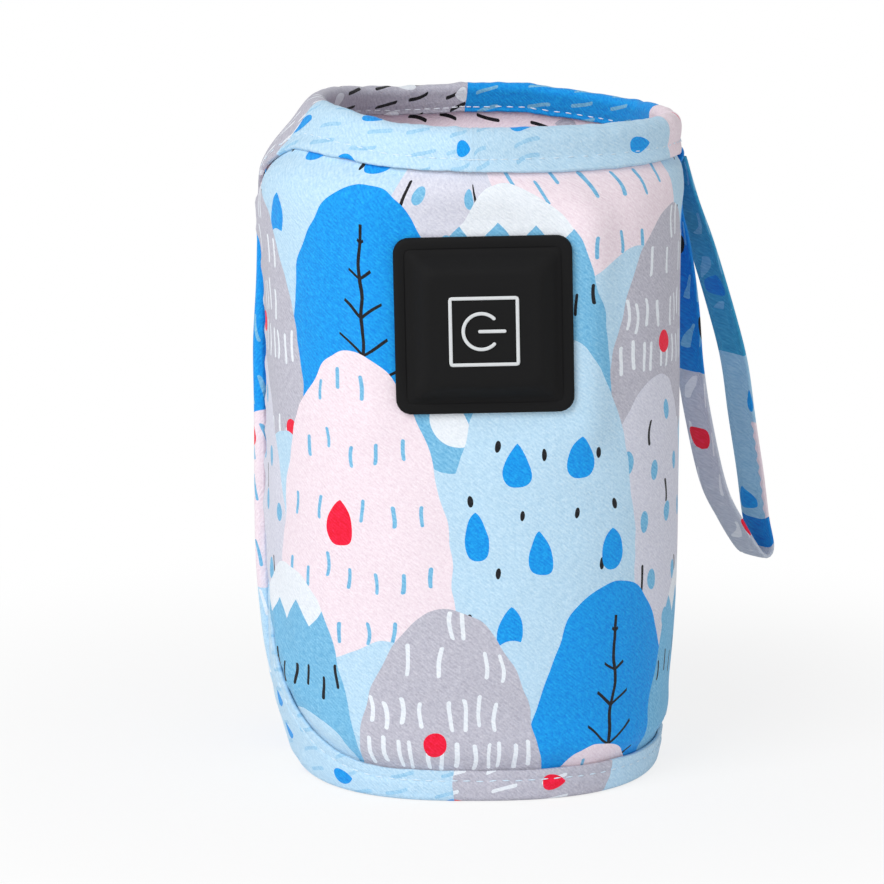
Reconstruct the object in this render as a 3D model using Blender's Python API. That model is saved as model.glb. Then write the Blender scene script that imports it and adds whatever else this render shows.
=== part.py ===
"""Heated fabric sleeve for a feeding bottle, built from its sewn and electrical pieces.

Units are metres. The sleeve stands on z = 0 with its button pad facing -Y, its bound side seam
at -X and its hanging strap at +X. Wall pieces share one outline, so each is described by how far
it lies inside that outline (its inset) at each height.
"""
import math

import bmesh
import bpy
from mathutils import Matrix, Vector

# Sleeve outline
HEIGHT = 0.150
LEFT_HALF = 0.046
RIGHT_HALF = 0.0474
DEPTH_HALF = 0.0445
SQUARENESS = 2.5
CORNER_POWER = 2.2
MOUTH_LEFT_DRAW = 0.0095
MOUTH_RIGHT_DRAW = 0.0006
MOUTH_DEPTH_DRAW = 0.0035
MOUTH_CORNER_RISE = 0.020
BASE_LEFT_DRAW = 0.008
BASE_RIGHT_DRAW = 0.0035
BASE_DEPTH_DRAW = 0.002
BASE_CORNER_RISE = 0.030
RIM_SLANT = 0.03

# Wall layers, from the outside in
GAP = 0.0003
COVER_THICK = 0.001
FOAM_THICK = 0.0034
FILM_THICK = 0.0004
TRACE_THICK = 0.0002
TRACE_GAP = 0.0001
LINING_THICK = 0.0008

# Bindings
TAPE_THICK = 0.0009
BAND_PROUD = 0.0003
MOUTH_BAND = 0.009
MOUTH_BAND_INSIDE = 0.008
BASE_BAND = 0.0072
BASE_FLANGE = 0.0065
PINCH_RUN = 0.0035
FIN_WIDTH = 0.0032
FIN_END_WIDTH = 0.0018
FIN_TAPER = 1.5
FIN_TAPE_THICK = 0.0007
FLANGE_THICK = 0.0006
SEAM_GAP = 0.0003

# Base
BASE_PANEL_THICK = 0.001
BASE_FOAM_THICK = 0.003
BASE_LINING_THICK = 0.0008
BASE_HUB_INSET = 0.030

# Heater
FILM_SEAM_COLUMNS = 2
TRACE_MARGIN = 0.004
TRACE_TURN = 0.004
SENSOR_SIZE = (0.0024, 0.0014, 0.003)
SENSOR_DROP = 0.0215
CUTOUT_SIZE = (0.007, 0.0018, 0.003)
CUTOUT_DROP = 0.028

# Button pad and what lies behind it, measured inward from the cover's flat seat
PAD_X = 0.0029
PAD_DROP = 0.0425
PAD_ROLL = math.radians(-1.2)
PAD_WIDTH = 0.0385
PAD_CORNER = 0.0034
PAD_EDGE = 0.0009
PAD_BORDER = 0.0014
PAD_CHAMFER = 0.0005
PAD_SLOPE_WIDTH = 0.0335
PAD_SLOPE_TOP = 0.0282
PAD_RISE = 0.0055
SEAT_PRESS = 0.0013
SEAT_MARGIN = 0.0012
SEAT_BLEND = 0.012
BUTTON_WIDTH = 0.0255
BUTTON_CORNER = 0.003
BUTTON_CLEARANCE = 0.00035
BUTTON_PROUD = 0.0004
BUTTON_CHAMFER = 0.0004
BUTTON_PLATE = 0.002
BUTTON_TRAVEL = 0.0006
STEM_RADIUS = 0.002
ICON_THICK = 0.0002
ICON_GAP = 0.00005
ICON_DROP = 0.0004
ICON_FRAME_WIDTH = 0.0153
ICON_FRAME_CORNER = 0.0012
ICON_STROKE = 0.0008
ICON_RING_X = -0.0006
ICON_RING_RADIUS = 0.0043
ICON_RING_OPENING = math.radians(80.0)
ICON_BAR_LENGTH = 0.0061
ICON_BAR_START = 0.0013
HOUSING_WIDTH = 0.030
HOUSING_CORNER = 0.003
HOUSING_WALL = 0.0012
HOUSING_FLOOR = 0.001
HOUSING_CLEARANCE = 0.0004
BOARD_WIDTH = 0.0262
BOARD_CORNER = 0.0018
BOARD_THICK = 0.001
SOLDER_GAP = 0.00005
SWITCH_WIDTH = 0.006
SWITCH_HEIGHT = 0.00125
SWITCH_FLOOR = 0.00015
PLUNGER_RADIUS = 0.0014
PLUNGER_CLEARANCE = 0.0002
PLUNGER_PROUD = 0.0012
PLUNGER_STOP = 0.0001
LED_SIZE = (0.0016, 0.0007, 0.0008)
LED_RADIUS = 0.008
LED_COUNT = 3
SCREW_HEAD_RADIUS = 0.0012
SCREW_HEAD_THICK = 0.0008
SCREW_SHANK_RADIUS = 0.0006
SCREW_CLEARANCE = 0.0003
SCREW_SETBACK = 0.003
NOTCH_LEFT = -0.0065
NOTCH_RIGHT = 0.0105
POCKET_DROP = 0.0165
POCKET_SIDE = 0.002

# Leads and grommet
LEAD_RADIUS = 0.00045
LEAD_SPREAD = 0.005
LEAD_DROP = 0.0245
SUPPLY_RADIUS = 0.0007
SUPPLY_X = 0.009
SUPPLY_Z = 0.0125
SUPPLY_CLEARANCE = 0.0003
SUPPLY_BEND = 0.0028
GROMMET_RADIUS = 0.0035
GROMMET_NECK = 0.0022
GROMMET_FLANGE = 0.0012

# Hanging strap
STRAP_ANGLE = math.radians(30.0)
STRAP_YAW = math.radians(40.0)
STRAP_DROP_BELOW_RIM = 0.0135
STRAP_WIDTH = 0.009
STRAP_THICK = 0.0014
STRAP_PIVOT_OUT = 0.004
STRAP_BAR_RADIUS = 0.0015
STRAP_ROUTE = (
    (0.0010, -0.0016), (0.0011, -0.0075), (0.0017, -0.0135), (0.0043, -0.0219), (0.0072, -0.0367),
    (0.0088, -0.0500), (0.0117, -0.0636), (0.0170, -0.0808), (0.0230, -0.0907), (0.0290, -0.0986),
    (0.0318, -0.1000), (0.0330, -0.0975), (0.0311, -0.0900), (0.0291, -0.0792), (0.0260, -0.0654),
    (0.0231, -0.0517), (0.0183, -0.0379), (0.0118, -0.0217), (0.0068, -0.0112), (0.0027, -0.0008),
)

# Facets
RING_COLUMNS = 40
LEVEL_STEP = 0.014
ARC_STEPS = 4
ROUND_STEPS = 20
ROUTE_STEPS = 3
SHARP_ANGLE = math.radians(35.0)

# Sizes that follow from the ones above
PINCH = TAPE_THICK + GAP - BAND_PROUD
FOAM_INSET = COVER_THICK + GAP
FOAM_INNER = FOAM_INSET + FOAM_THICK
FILM_INSET = FOAM_INNER + GAP
TRACE_INSET = FILM_INSET + FILM_THICK + TRACE_GAP
LINING_INSET = TRACE_INSET + TRACE_THICK + GAP
MOUTH_LINING = PINCH + COVER_THICK + GAP
BAND_MIDDLE = PINCH + (COVER_THICK + GAP + LINING_THICK) / 2
BAND_CORE = (COVER_THICK + GAP + LINING_THICK) / 2 + GAP
RIM_CENTRE = HEIGHT - BAND_CORE - TAPE_THICK
COVER_BOTTOM = TAPE_THICK + GAP
BASE_EDGE_TOP = COVER_BOTTOM + BASE_PANEL_THICK
FOAM_BOTTOM = BASE_EDGE_TOP + GAP
BASE_FOAM_TOP = FOAM_BOTTOM + BASE_FOAM_THICK
BASE_LINING_BOTTOM = BASE_FOAM_TOP + GAP
LINING_BOTTOM = BASE_LINING_BOTTOM + BASE_LINING_THICK + GAP
FOAM_TOP = HEIGHT - MOUTH_BAND - PINCH_RUN - GAP
FILM_BOTTOM = BASE_CORNER_RISE
PAD_Z = HEIGHT - PAD_DROP
SEAT_HALF = PAD_WIDTH / 2 + SEAT_MARGIN
FILM_TOP = PAD_Z + SEAT_HALF
FIN_BOTTOM = BASE_BAND + GAP
FIN_TOP = HEIGHT - MOUTH_BAND - GAP
SEAT_DEPTH = DEPTH_HALF - SEAT_PRESS
PAD_BACK = -GAP
BUTTON_FACE = PAD_BACK - PAD_RISE - BUTTON_PROUD
HOUSING_DEPTH = FOAM_INNER
BOARD_BACK = HOUSING_DEPTH - HOUSING_FLOOR - GAP
BOARD_FACE = BOARD_BACK - BOARD_THICK
LEAD_DEPTH = (BOARD_FACE + BOARD_BACK) / 2
SWITCH_BACK = BOARD_FACE - SOLDER_GAP
SWITCH_FACE = SWITCH_BACK - SWITCH_HEIGHT
PLUNGER_TIP = SWITCH_FACE - PLUNGER_PROUD
PLUNGER_END = SWITCH_BACK - SWITCH_FLOOR - BUTTON_TRAVEL - PLUNGER_STOP
SUPPLY_INSET = FOAM_INNER - SUPPLY_CLEARANCE - SUPPLY_RADIUS
GROOVE_HALF = SUPPLY_RADIUS + SUPPLY_CLEARANCE
GROOVE_INSET = SUPPLY_INSET - SUPPLY_RADIUS - SUPPLY_CLEARANCE
SENSOR_INSET = FILM_INSET - GAP
LEAD_INSET = FILM_INSET - GAP - LEAD_RADIUS
STRAP_Z = HEIGHT - STRAP_DROP_BELOW_RIM

FINISHES = {
    "printed_twill": ((0.36, 0.62, 0.85), 0.85, 0.0),
    "light_binding": ((0.72, 0.85, 0.95), 0.85, 0.0),
    "printed_lining": ((0.90, 0.80, 0.84), 0.9, 0.0),
    "base_cloth": ((0.55, 0.72, 0.88), 0.9, 0.0),
    "white_foam": ((0.92, 0.92, 0.90), 0.95, 0.0),
    "amber_film": ((0.80, 0.52, 0.14), 0.35, 0.0),
    "copper": ((0.80, 0.43, 0.26), 0.35, 1.0),
    "black_silicone": ((0.014, 0.014, 0.015), 0.55, 0.0),
    "grey_ink": ((0.66, 0.68, 0.70), 0.6, 0.0),
    "black_plastic": ((0.03, 0.03, 0.03), 0.5, 0.0),
    "green_laminate": ((0.03, 0.22, 0.10), 0.45, 0.0),
    "clear_lens": ((0.95, 0.85, 0.70), 0.15, 0.0),
    "steel": ((0.62, 0.62, 0.64), 0.3, 1.0),
    "red_sleeve": ((0.60, 0.05, 0.05), 0.5, 0.0),
    "white_sleeve": ((0.85, 0.85, 0.85), 0.5, 0.0),
}


def clamp(value):
    """Limit a value to the range from 0 to 1."""
    return min(max(value, 0.0), 1.0)


def smooth(value):
    """Ease a value from 0 to 1 with level ends."""
    held = clamp(value)
    return held * held * (3.0 - 2.0 * held)


def signed_power(value, exponent):
    """Raise a value's size to a power and keep its sign."""
    return math.copysign(abs(value) ** exponent, value)


def drawn_half(full, mouth_draw, base_draw, z):
    """Half size of the outline at height z, drawn in towards the mouth and the base."""
    up = clamp((z - (HEIGHT - MOUTH_CORNER_RISE)) / MOUTH_CORNER_RISE)
    down = clamp((BASE_CORNER_RISE - z) / BASE_CORNER_RISE)
    return full - mouth_draw * up ** CORNER_POWER - base_draw * down ** CORNER_POWER


def left_half(z):
    """Distance from the axis to the outline at the side seam."""
    return drawn_half(LEFT_HALF, MOUTH_LEFT_DRAW, BASE_LEFT_DRAW, z)


def right_half(z):
    """Distance from the axis to the outline at the strap's side."""
    return drawn_half(RIGHT_HALF, MOUTH_RIGHT_DRAW, BASE_RIGHT_DRAW, z)


def depth_half(z):
    """Distance from the axis to the outline at the front and the back."""
    return drawn_half(DEPTH_HALF, MOUTH_DEPTH_DRAW, BASE_DEPTH_DRAW, z)


def front_angle(x, z, inset):
    """Angle at which the front wall passes a given x."""
    half = right_half(z) if x >= 0.0 else left_half(z)
    share = signed_power(x / (half - inset), SQUARENESS / 2.0)
    return 2.0 * math.pi - math.acos(max(min(share, 1.0), -1.0))


def seat_angles():
    """Angles of the flat seat's left and right edges behind the button pad."""
    return [front_angle(PAD_X + side * SEAT_HALF, PAD_Z, 0.0) for side in (-1.0, 1.0)]


def seat_share(angle, z):
    """How fully the front is pressed flat behind the button pad: 1 on the seat, 0 away from it."""
    left, right = seat_angles()
    around = angle % (2.0 * math.pi)
    side = DEPTH_HALF * max(left - around, around - right, 0.0)
    above = max(abs(z - PAD_Z) - SEAT_HALF, 0.0)
    return 1.0 - smooth(math.hypot(side, above) / SEAT_BLEND)


def rim_lift(x, z):
    """Rise of the slanted rim at x, fading to nothing at the base."""
    return -RIM_SLANT * x * (z / HEIGHT) ** 2


def wall_point(angle, z, inset):
    """Point on the sleeve's outline moved in by inset, at an angle from +X towards +Y."""
    exponent = 2.0 / SQUARENESS
    half = right_half(z) if math.cos(angle) >= 0.0 else left_half(z)
    x = (half - inset) * signed_power(math.cos(angle), exponent)
    y = (depth_half(z) - inset) * signed_power(math.sin(angle), exponent)
    if y < 0.0:
        y += (inset - SEAT_DEPTH - y) * seat_share(angle, z)
    return Vector((x, y, z + rim_lift(x, z)))


def front_point(x, z, inset):
    """Point on the front wall at a given x, height and inset."""
    return wall_point(front_angle(x, z, inset), z, inset)


def pinch(z):
    """Inset of the cover's face at height z, drawn in under the mouth and base bindings."""
    above_base = (z - BASE_BAND) / PINCH_RUN
    below_mouth = (HEIGHT - MOUTH_BAND - z) / PINCH_RUN
    return PINCH * (1.0 - clamp(min(above_base, below_mouth)))


def ring_angles():
    """Angles of the wall's columns, from just past the side seam and round by the front."""
    step = 2.0 * math.pi / RING_COLUMNS
    angles = [math.pi + step / 2]
    for mark in (*seat_angles(), 3.0 * math.pi - step / 2):
        start = angles[-1]
        pieces = max(1, round((mark - start) / step))
        angles += [start + (mark - start) * (piece + 1) / pieces for piece in range(pieces)]
    return angles


def outline_levels():
    """Heights of the rows that every wall shares, closest where the outline changes."""
    mouth = HEIGHT - MOUTH_BAND
    marks = [
        BASE_BAND, BASE_BAND + PINCH_RUN, BASE_CORNER_RISE / 2, FILM_BOTTOM,
        PAD_Z - SEAT_HALF - SEAT_BLEND, PAD_Z - SEAT_HALF - SEAT_BLEND / 2, PAD_Z - SEAT_HALF,
        FILM_TOP, mouth - PINCH_RUN, mouth, HEIGHT - MOUTH_BAND / 2, HEIGHT,
    ]
    rows = [0.0]
    for mark in sorted(marks):
        start = rows[-1]
        pieces = max(1, round((mark - start) / LEVEL_STEP))
        rows += [start + (mark - start) * (piece + 1) / pieces for piece in range(pieces)]
    return rows


def levels(bottom, top, extra=()):
    """Heights of one wall's rows: its two ends, the shared rows between them and any extra ones."""
    own = [bottom, *extra, top]
    shared = [z for z in outline_levels() if bottom < z < top]
    return sorted(own + [z for z in shared if min(abs(z - mark) for mark in own) > GAP])


def new_material(name, finish):
    """Make a Principled material for one piece."""
    colour, roughness, metallic = FINISHES[finish]
    material = bpy.data.materials.new(name)
    material.use_nodes = True
    shader = material.node_tree.nodes["Principled BSDF"]
    shader.inputs["Base Color"].default_value = (*colour, 1.0)
    shader.inputs["Roughness"].default_value = roughness
    shader.inputs["Metallic"].default_value = metallic
    return material


def add_object(name, data, finish, parent=None):
    """Link one piece to the scene with its own material."""
    piece = bpy.data.objects.new(name, data)
    bpy.context.collection.objects.link(piece)
    data.materials.append(new_material(name, finish))
    piece.parent = parent
    return piece


def add_mesh(name, shape, finish, parent=None):
    """Turn a finished bmesh into a named piece with its faces pointing out."""
    bmesh.ops.recalc_face_normals(shape, faces=shape.faces)
    mesh = bpy.data.meshes.new(name)
    shape.to_mesh(mesh)
    shape.free()
    mesh.shade_smooth()
    mesh.set_sharp_from_angle(angle=SHARP_ANGLE)
    return add_object(name, mesh, finish, parent)


def add_empty(name, location):
    """Add a frame that carries other pieces."""
    empty = bpy.data.objects.new(name, None)
    empty.location = location
    bpy.context.collection.objects.link(empty)
    return empty


def thick_sheet(rows, ring=False, keep=None, filled=False):
    """Close a solid between two faces, given as rows of (outer, inner) point pairs.

    ring joins the last column to the first, keep(row, column) picks the cells that exist, and
    filled closes the first row's two loops across the middle. Both faces split their cells along
    the same diagonal, so that sheets on shared rows and columns nest without touching.
    """
    shape = bmesh.new()
    outer = [[shape.verts.new(pair[0]) for pair in row] for row in rows]
    inner = [[shape.verts.new(pair[1]) for pair in row] for row in rows]
    columns = len(rows[0])
    edges = {}
    for row in range(len(rows) - 1):
        for column in range(columns if ring else columns - 1):
            if keep and not keep(row, column):
                continue
            beside = (column + 1) % columns
            corners = [(row, column), (row, beside), (row + 1, beside), (row + 1, column)]
            shape.faces.new([outer[r][c] for r, c in corners])
            shape.faces.new([inner[r][c] for r, c in corners[:1] + corners[:0:-1]])
            for start, end in zip(corners, corners[1:] + corners[:1]):
                edges.setdefault(tuple(sorted((start, end))), []).append((start, end))
    bmesh.ops.triangulate(shape, faces=shape.faces, quad_method="FIXED")
    for uses in edges.values():
        (start, end) = uses[0]
        on_first_row = start[0] == 0 and end[0] == 0
        if len(uses) == 1 and not (filled and on_first_row):
            shape.faces.new([
                outer[end[0]][end[1]], outer[start[0]][start[1]],
                inner[start[0]][start[1]], inner[end[0]][end[1]],
            ])
    if filled:
        shape.faces.new(outer[0])
        shape.faces.new(list(reversed(inner[0])))
    loose = [vertex for vertex in shape.verts if not vertex.link_faces]
    bmesh.ops.delete(shape, geom=loose, context="VERTS")
    return shape


def wall_rows(stations, angles):
    """Rows of point pairs from stations of (outer inset, outer z, inner inset, inner z)."""
    return [
        [
            (wall_point(angle, station[1], station[0]), wall_point(angle, station[3], station[2]))
            for angle in angles
        ]
        for station in stations
    ]


def loft(loops):
    """Close a solid through a stack of outlines with equal point counts."""
    shape = bmesh.new()
    rings = [[shape.verts.new(point) for point in loop] for loop in loops]
    for lower, upper in zip(rings, rings[1:]):
        for index in range(len(lower)):
            beside = (index + 1) % len(lower)
            shape.faces.new([lower[index], lower[beside], upper[beside], upper[index]])
    shape.faces.new(list(reversed(rings[0])))
    shape.faces.new(rings[-1])
    return shape


def rounded_square(width, corner, y):
    """Outline of a square with round corners in the plane at depth y."""
    reach = width / 2 - corner
    points = []
    for quarter in range(4):
        middle = math.pi / 4 + quarter * math.pi / 2
        centre_x = math.copysign(reach, math.cos(middle))
        centre_z = math.copysign(reach, math.sin(middle))
        for step in range(ARC_STEPS + 1):
            angle = quarter * math.pi / 2 + step * math.pi / 2 / ARC_STEPS
            x = centre_x + corner * math.cos(angle)
            z = centre_z + corner * math.sin(angle)
            points.append(Vector((x, y, z)))
    return points


def disc_outline(radius, y):
    """Circle with as many points as a rounded square, in the plane at depth y."""
    count = 4 * (ARC_STEPS + 1)
    angles = [2 * math.pi * (index + 0.5) / count - math.pi / count for index in range(count)]
    return [Vector((radius * math.cos(angle), y, radius * math.sin(angle))) for angle in angles]


def box_shape(low, high):
    """Box between two corners."""
    shape = bmesh.new()
    size = [top - bottom for bottom, top in zip(low, high)]
    middle = [(top + bottom) / 2 for bottom, top in zip(low, high)]
    place = Matrix.Translation(middle) @ Matrix.Diagonal((*size, 1.0))
    bmesh.ops.create_cube(shape, size=1.0, matrix=place)
    return shape


def rod_shape(radius, start, end, steps=ROUND_STEPS):
    """Cylinder along Y between two depths, centred on the local axis."""
    shape = bmesh.new()
    turn = Matrix.Rotation(math.pi / 2, 4, "X")
    place = Matrix.Translation((0.0, (start + end) / 2, 0.0)) @ turn
    bmesh.ops.create_cone(
        shape, cap_ends=True, segments=steps, radius1=radius, radius2=radius,
        depth=end - start, matrix=place,
    )
    return shape


def turned_shape(profile):
    """Spin a closed (radius, y) profile about the Y axis."""
    shape = bmesh.new()
    points = [shape.verts.new((radius, y, 0.0)) for radius, y in profile]
    edges = [shape.edges.new((points[i - 1], points[i])) for i in range(len(points))]
    bmesh.ops.spin(
        shape, geom=points + edges, axis=(0.0, 1.0, 0.0), cent=(0.0, 0.0, 0.0),
        angle=2 * math.pi, steps=ROUND_STEPS, use_merge=True,
    )
    return shape


def smooth_route(points):
    """Even curve through points: a Catmull-Rom spline with a few steps in each span."""
    padded = [2 * points[0] - points[1], *points, 2 * points[-1] - points[-2]]
    route = []
    for before, start, end, after in zip(padded, padded[1:], padded[2:], padded[3:]):
        for step in range(ROUTE_STEPS):
            t = step / ROUTE_STEPS
            bend = 2 * before - 5 * start + 4 * end - after
            twist = 3 * start - before - 3 * end + after
            route.append(0.5 * (2 * start + (end - before) * t + bend * t ** 2 + twist * t ** 3))
    return route + [points[-1]]


def tube(name, route, radius, finish):
    """Round lead along a smooth route, with closed ends."""
    curve = bpy.data.curves.new(name, "CURVE")
    curve.dimensions = "3D"
    curve.bevel_depth = radius
    curve.bevel_resolution = 2
    curve.use_fill_caps = True
    spline = curve.splines.new("POLY")
    points = smooth_route(route)
    spline.points.add(len(points) - 1)
    for spline_point, place in zip(spline.points, points):
        spline_point.co = (*place, 1.0)
    return add_object(name, curve, finish)


def cut(piece, cutter):
    """Take a cutter's shape out of a piece."""
    cutter.hide_render = True
    cutter.display_type = "WIRE"
    modifier = piece.modifiers.new(cutter.name, "BOOLEAN")
    modifier.operation = "DIFFERENCE"
    modifier.object = cutter


def build_outer_cover():
    """Printed cover: one panel round the sleeve with two flanges in the side seam."""
    angles = ring_angles()
    heights = levels(COVER_BOTTOM, RIM_CENTRE)
    rows = []
    for z in heights:
        face = pinch(z)
        tube_pairs = [
            (wall_point(angle, z, face), wall_point(angle, z, face + COVER_THICK))
            for angle in angles
        ]
        root = left_half(z) - face
        tip = left_half(z) + max(fin_width(z) - FIN_TAPE_THICK - GAP, 0.0)
        front = seam_pairs(root, tip, z, -1.0)
        back = seam_pairs(root, tip, z, 1.0)
        rows.append(front + tube_pairs + list(reversed(back)))
    flange_columns = (0, len(rows[0]) - 2)

    def keep(row, column):
        in_fin = heights[row] >= FIN_BOTTOM and heights[row + 1] <= FIN_TOP
        return in_fin or column not in flange_columns

    return add_mesh("outer_cover", thick_sheet(rows, keep=keep), "printed_twill")


def seam_pairs(root, tip, z, side):
    """Tip and root pairs of one seam flange; side is -1 for the front one and 1 for the back."""
    near = side * SEAM_GAP / 2
    far = side * (SEAM_GAP / 2 + FLANGE_THICK)
    lift_tip = z + rim_lift(-tip, z)
    lift_root = z + rim_lift(-root, z)
    inside = -root + COVER_THICK
    return [
        (Vector((-tip, far, lift_tip)), Vector((-tip, near, lift_tip))),
        (Vector((-root, far, lift_root)), Vector((inside, near, lift_root))),
    ]


def fin_width(z):
    """How far the bound side seam stands out at height z."""
    along = clamp((z - FIN_BOTTOM) / (FIN_TOP - FIN_BOTTOM))
    return FIN_END_WIDTH + (FIN_WIDTH - FIN_END_WIDTH) * math.sin(math.pi * along) ** FIN_TAPER


def build_side_binding():
    """Tape folded over the seam's flanges from the base binding to the mouth binding."""
    inner_half = SEAM_GAP / 2 + FLANGE_THICK + GAP
    outer_half = inner_half + FIN_TAPE_THICK
    turns = [math.pi / 2 * step / ARC_STEPS for step in range(ARC_STEPS + 1)]
    rows = []
    for z in levels(FIN_BOTTOM, FIN_TOP):
        root = left_half(z) + GAP
        fold = left_half(z) + fin_width(z)
        outer = [(root, -outer_half)]
        inner = [(root, -inner_half)]
        for turn in turns + [math.pi - turn for turn in reversed(turns[:-1])]:
            outer.append((fold - outer_half / 2 * (1 - math.sin(turn)), -outer_half * math.cos(turn)))
            inner.append((fold - FIN_TAPE_THICK, -inner_half * math.cos(turn)))
        outer.append((root, outer_half))
        inner.append((root, inner_half))
        rows.append([(seam_point(*a, z), seam_point(*b, z)) for a, b in zip(outer, inner)])
    return add_mesh("side_binding", thick_sheet(rows), "light_binding")


def seam_point(reach, y, z):
    """Point beside the side seam, a given reach from the axis."""
    return Vector((-reach, y, z + rim_lift(-reach, z)))


def build_foam():
    """Padding between the cover and the heater, with a groove for the supply lead."""
    groove_low = SUPPLY_Z - GROOVE_HALF
    groove_high = SUPPLY_Z + GROOVE_HALF
    lips = (groove_low - GAP, groove_low, groove_high, groove_high + GAP)
    inner = {z: FOAM_INNER for z in levels(FOAM_BOTTOM, FOAM_TOP, lips)}
    for z in inner:
        if groove_low <= z <= groove_high:
            inner[z] = GROOVE_INSET
    stations = [(pinch(z) + FOAM_INSET, z, inner[z], z) for z in sorted(inner)]
    rows = wall_rows(stations, ring_angles())
    return add_mesh("insulation_foam", thick_sheet(rows), "white_foam")


def film_angles():
    """Columns that the heating film covers, clear of the side seam."""
    return ring_angles()[FILM_SEAM_COLUMNS:-FILM_SEAM_COLUMNS]


def build_heater():
    """Carrier film with one serpentine heating track."""
    low = FILM_BOTTOM + TRACE_MARGIN
    high = FILM_TOP - TRACE_MARGIN
    turns = (low, low + TRACE_TURN, high - TRACE_TURN, high)
    heights = levels(FILM_BOTTOM, FILM_TOP, turns)
    stations = [(FILM_INSET, z, FILM_INSET + FILM_THICK, z) for z in heights]
    add_mesh("heating_film", thick_sheet(wall_rows(stations, film_angles())), "amber_film")

    track = [z for z in heights if low <= z <= high]
    stations = [(TRACE_INSET, z, TRACE_INSET + TRACE_THICK, z) for z in track]
    rows = wall_rows(stations, film_angles()[1:-1])

    def keep(row, column):
        is_leg = column % 2 == 0
        at_foot = track[row + 1] <= low + TRACE_TURN
        at_head = track[row] >= high - TRACE_TURN
        return is_leg or (at_foot if column % 4 == 1 else at_head)

    add_mesh("heating_trace", thick_sheet(rows, keep=keep), "copper")


def build_lining():
    """Inner lining, drawn out to the cover under the mouth binding."""
    bend = FOAM_TOP + GAP
    mouth_start = HEIGHT - MOUTH_BAND
    insets = {z: LINING_INSET for z in levels(LINING_BOTTOM, (FILM_TOP + FOAM_TOP) / 2)}
    insets[bend] = FOAM_INNER + GAP
    for z in levels(mouth_start, RIM_CENTRE):
        insets[z] = MOUTH_LINING
    stations = [(insets[z], z, insets[z] + LINING_THICK, z) for z in sorted(insets)]
    rows = wall_rows(stations, ring_angles())
    return add_mesh("inner_lining", thick_sheet(rows, ring=True), "printed_lining")


def build_mouth_binding():
    """Tape folded over the rim, outside and inside."""
    outer_reach = BAND_CORE + TAPE_THICK
    outer_end = HEIGHT - MOUTH_BAND
    inner_end = HEIGHT - MOUTH_BAND_INSIDE
    stations = [(BAND_MIDDLE - outer_reach, outer_end, BAND_MIDDLE - BAND_CORE, outer_end)]
    middle = (outer_end + RIM_CENTRE) / 2
    stations.append((BAND_MIDDLE - outer_reach, middle, BAND_MIDDLE - BAND_CORE, middle))
    for step in range(2 * ARC_STEPS - 1):
        turn = math.pi * step / (2 * ARC_STEPS - 2)
        across = -math.cos(turn)
        up = math.sin(turn)
        stations.append((
            BAND_MIDDLE + outer_reach * across, RIM_CENTRE + outer_reach * up,
            BAND_MIDDLE + BAND_CORE * across, RIM_CENTRE + BAND_CORE * up,
        ))
    stations.append((BAND_MIDDLE + outer_reach, inner_end, BAND_MIDDLE + BAND_CORE, inner_end))
    rows = wall_rows(stations, ring_angles())
    return add_mesh("mouth_binding", thick_sheet(rows, ring=True), "light_binding")


def build_base():
    """Base binding, base cloth, base padding and inside floor."""
    face = PINCH - GAP
    outside = face - TAPE_THICK
    stations = [
        (outside, BASE_BAND, face, BASE_BAND),
        (outside, (BASE_BAND + TAPE_THICK) / 2, face, (BASE_BAND + TAPE_THICK) / 2),
        (outside, TAPE_THICK, face, TAPE_THICK),
        (face, 0.0, face + GAP, TAPE_THICK),
        (BASE_FLANGE, 0.0, BASE_FLANGE, TAPE_THICK),
    ]
    rows = wall_rows(stations, ring_angles())
    add_mesh("base_binding", thick_sheet(rows, ring=True), "light_binding")

    step_in = BASE_FLANGE + GAP
    step_foot = step_in + COVER_BOTTOM
    edge = PINCH + COVER_THICK + GAP
    hub = BASE_HUB_INSET
    panel = [(hub, 0.0), (step_foot, 0.0), (step_in, COVER_BOTTOM), (edge, COVER_BOTTOM)]
    stations = [(inset, z, inset, z + BASE_PANEL_THICK) for inset, z in panel]
    rows = wall_rows(stations, ring_angles())
    add_mesh("base_panel", thick_sheet(rows, ring=True, filled=True), "base_cloth")

    floor = BASE_PANEL_THICK + GAP
    edge = FOAM_INNER + GAP
    underside = [(hub, floor), (step_foot, floor), (step_in, FOAM_BOTTOM), (edge, FOAM_BOTTOM)]
    stations = [(inset, z, inset, BASE_FOAM_TOP) for inset, z in underside]
    rows = wall_rows(stations, ring_angles())
    add_mesh("base_foam", thick_sheet(rows, ring=True, filled=True), "white_foam")

    top = BASE_LINING_BOTTOM + BASE_LINING_THICK
    stations = [(inset, BASE_LINING_BOTTOM, inset, top) for inset in (hub, edge)]
    rows = wall_rows(stations, ring_angles())
    add_mesh("base_lining", thick_sheet(rows, ring=True, filled=True), "printed_lining")


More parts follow.
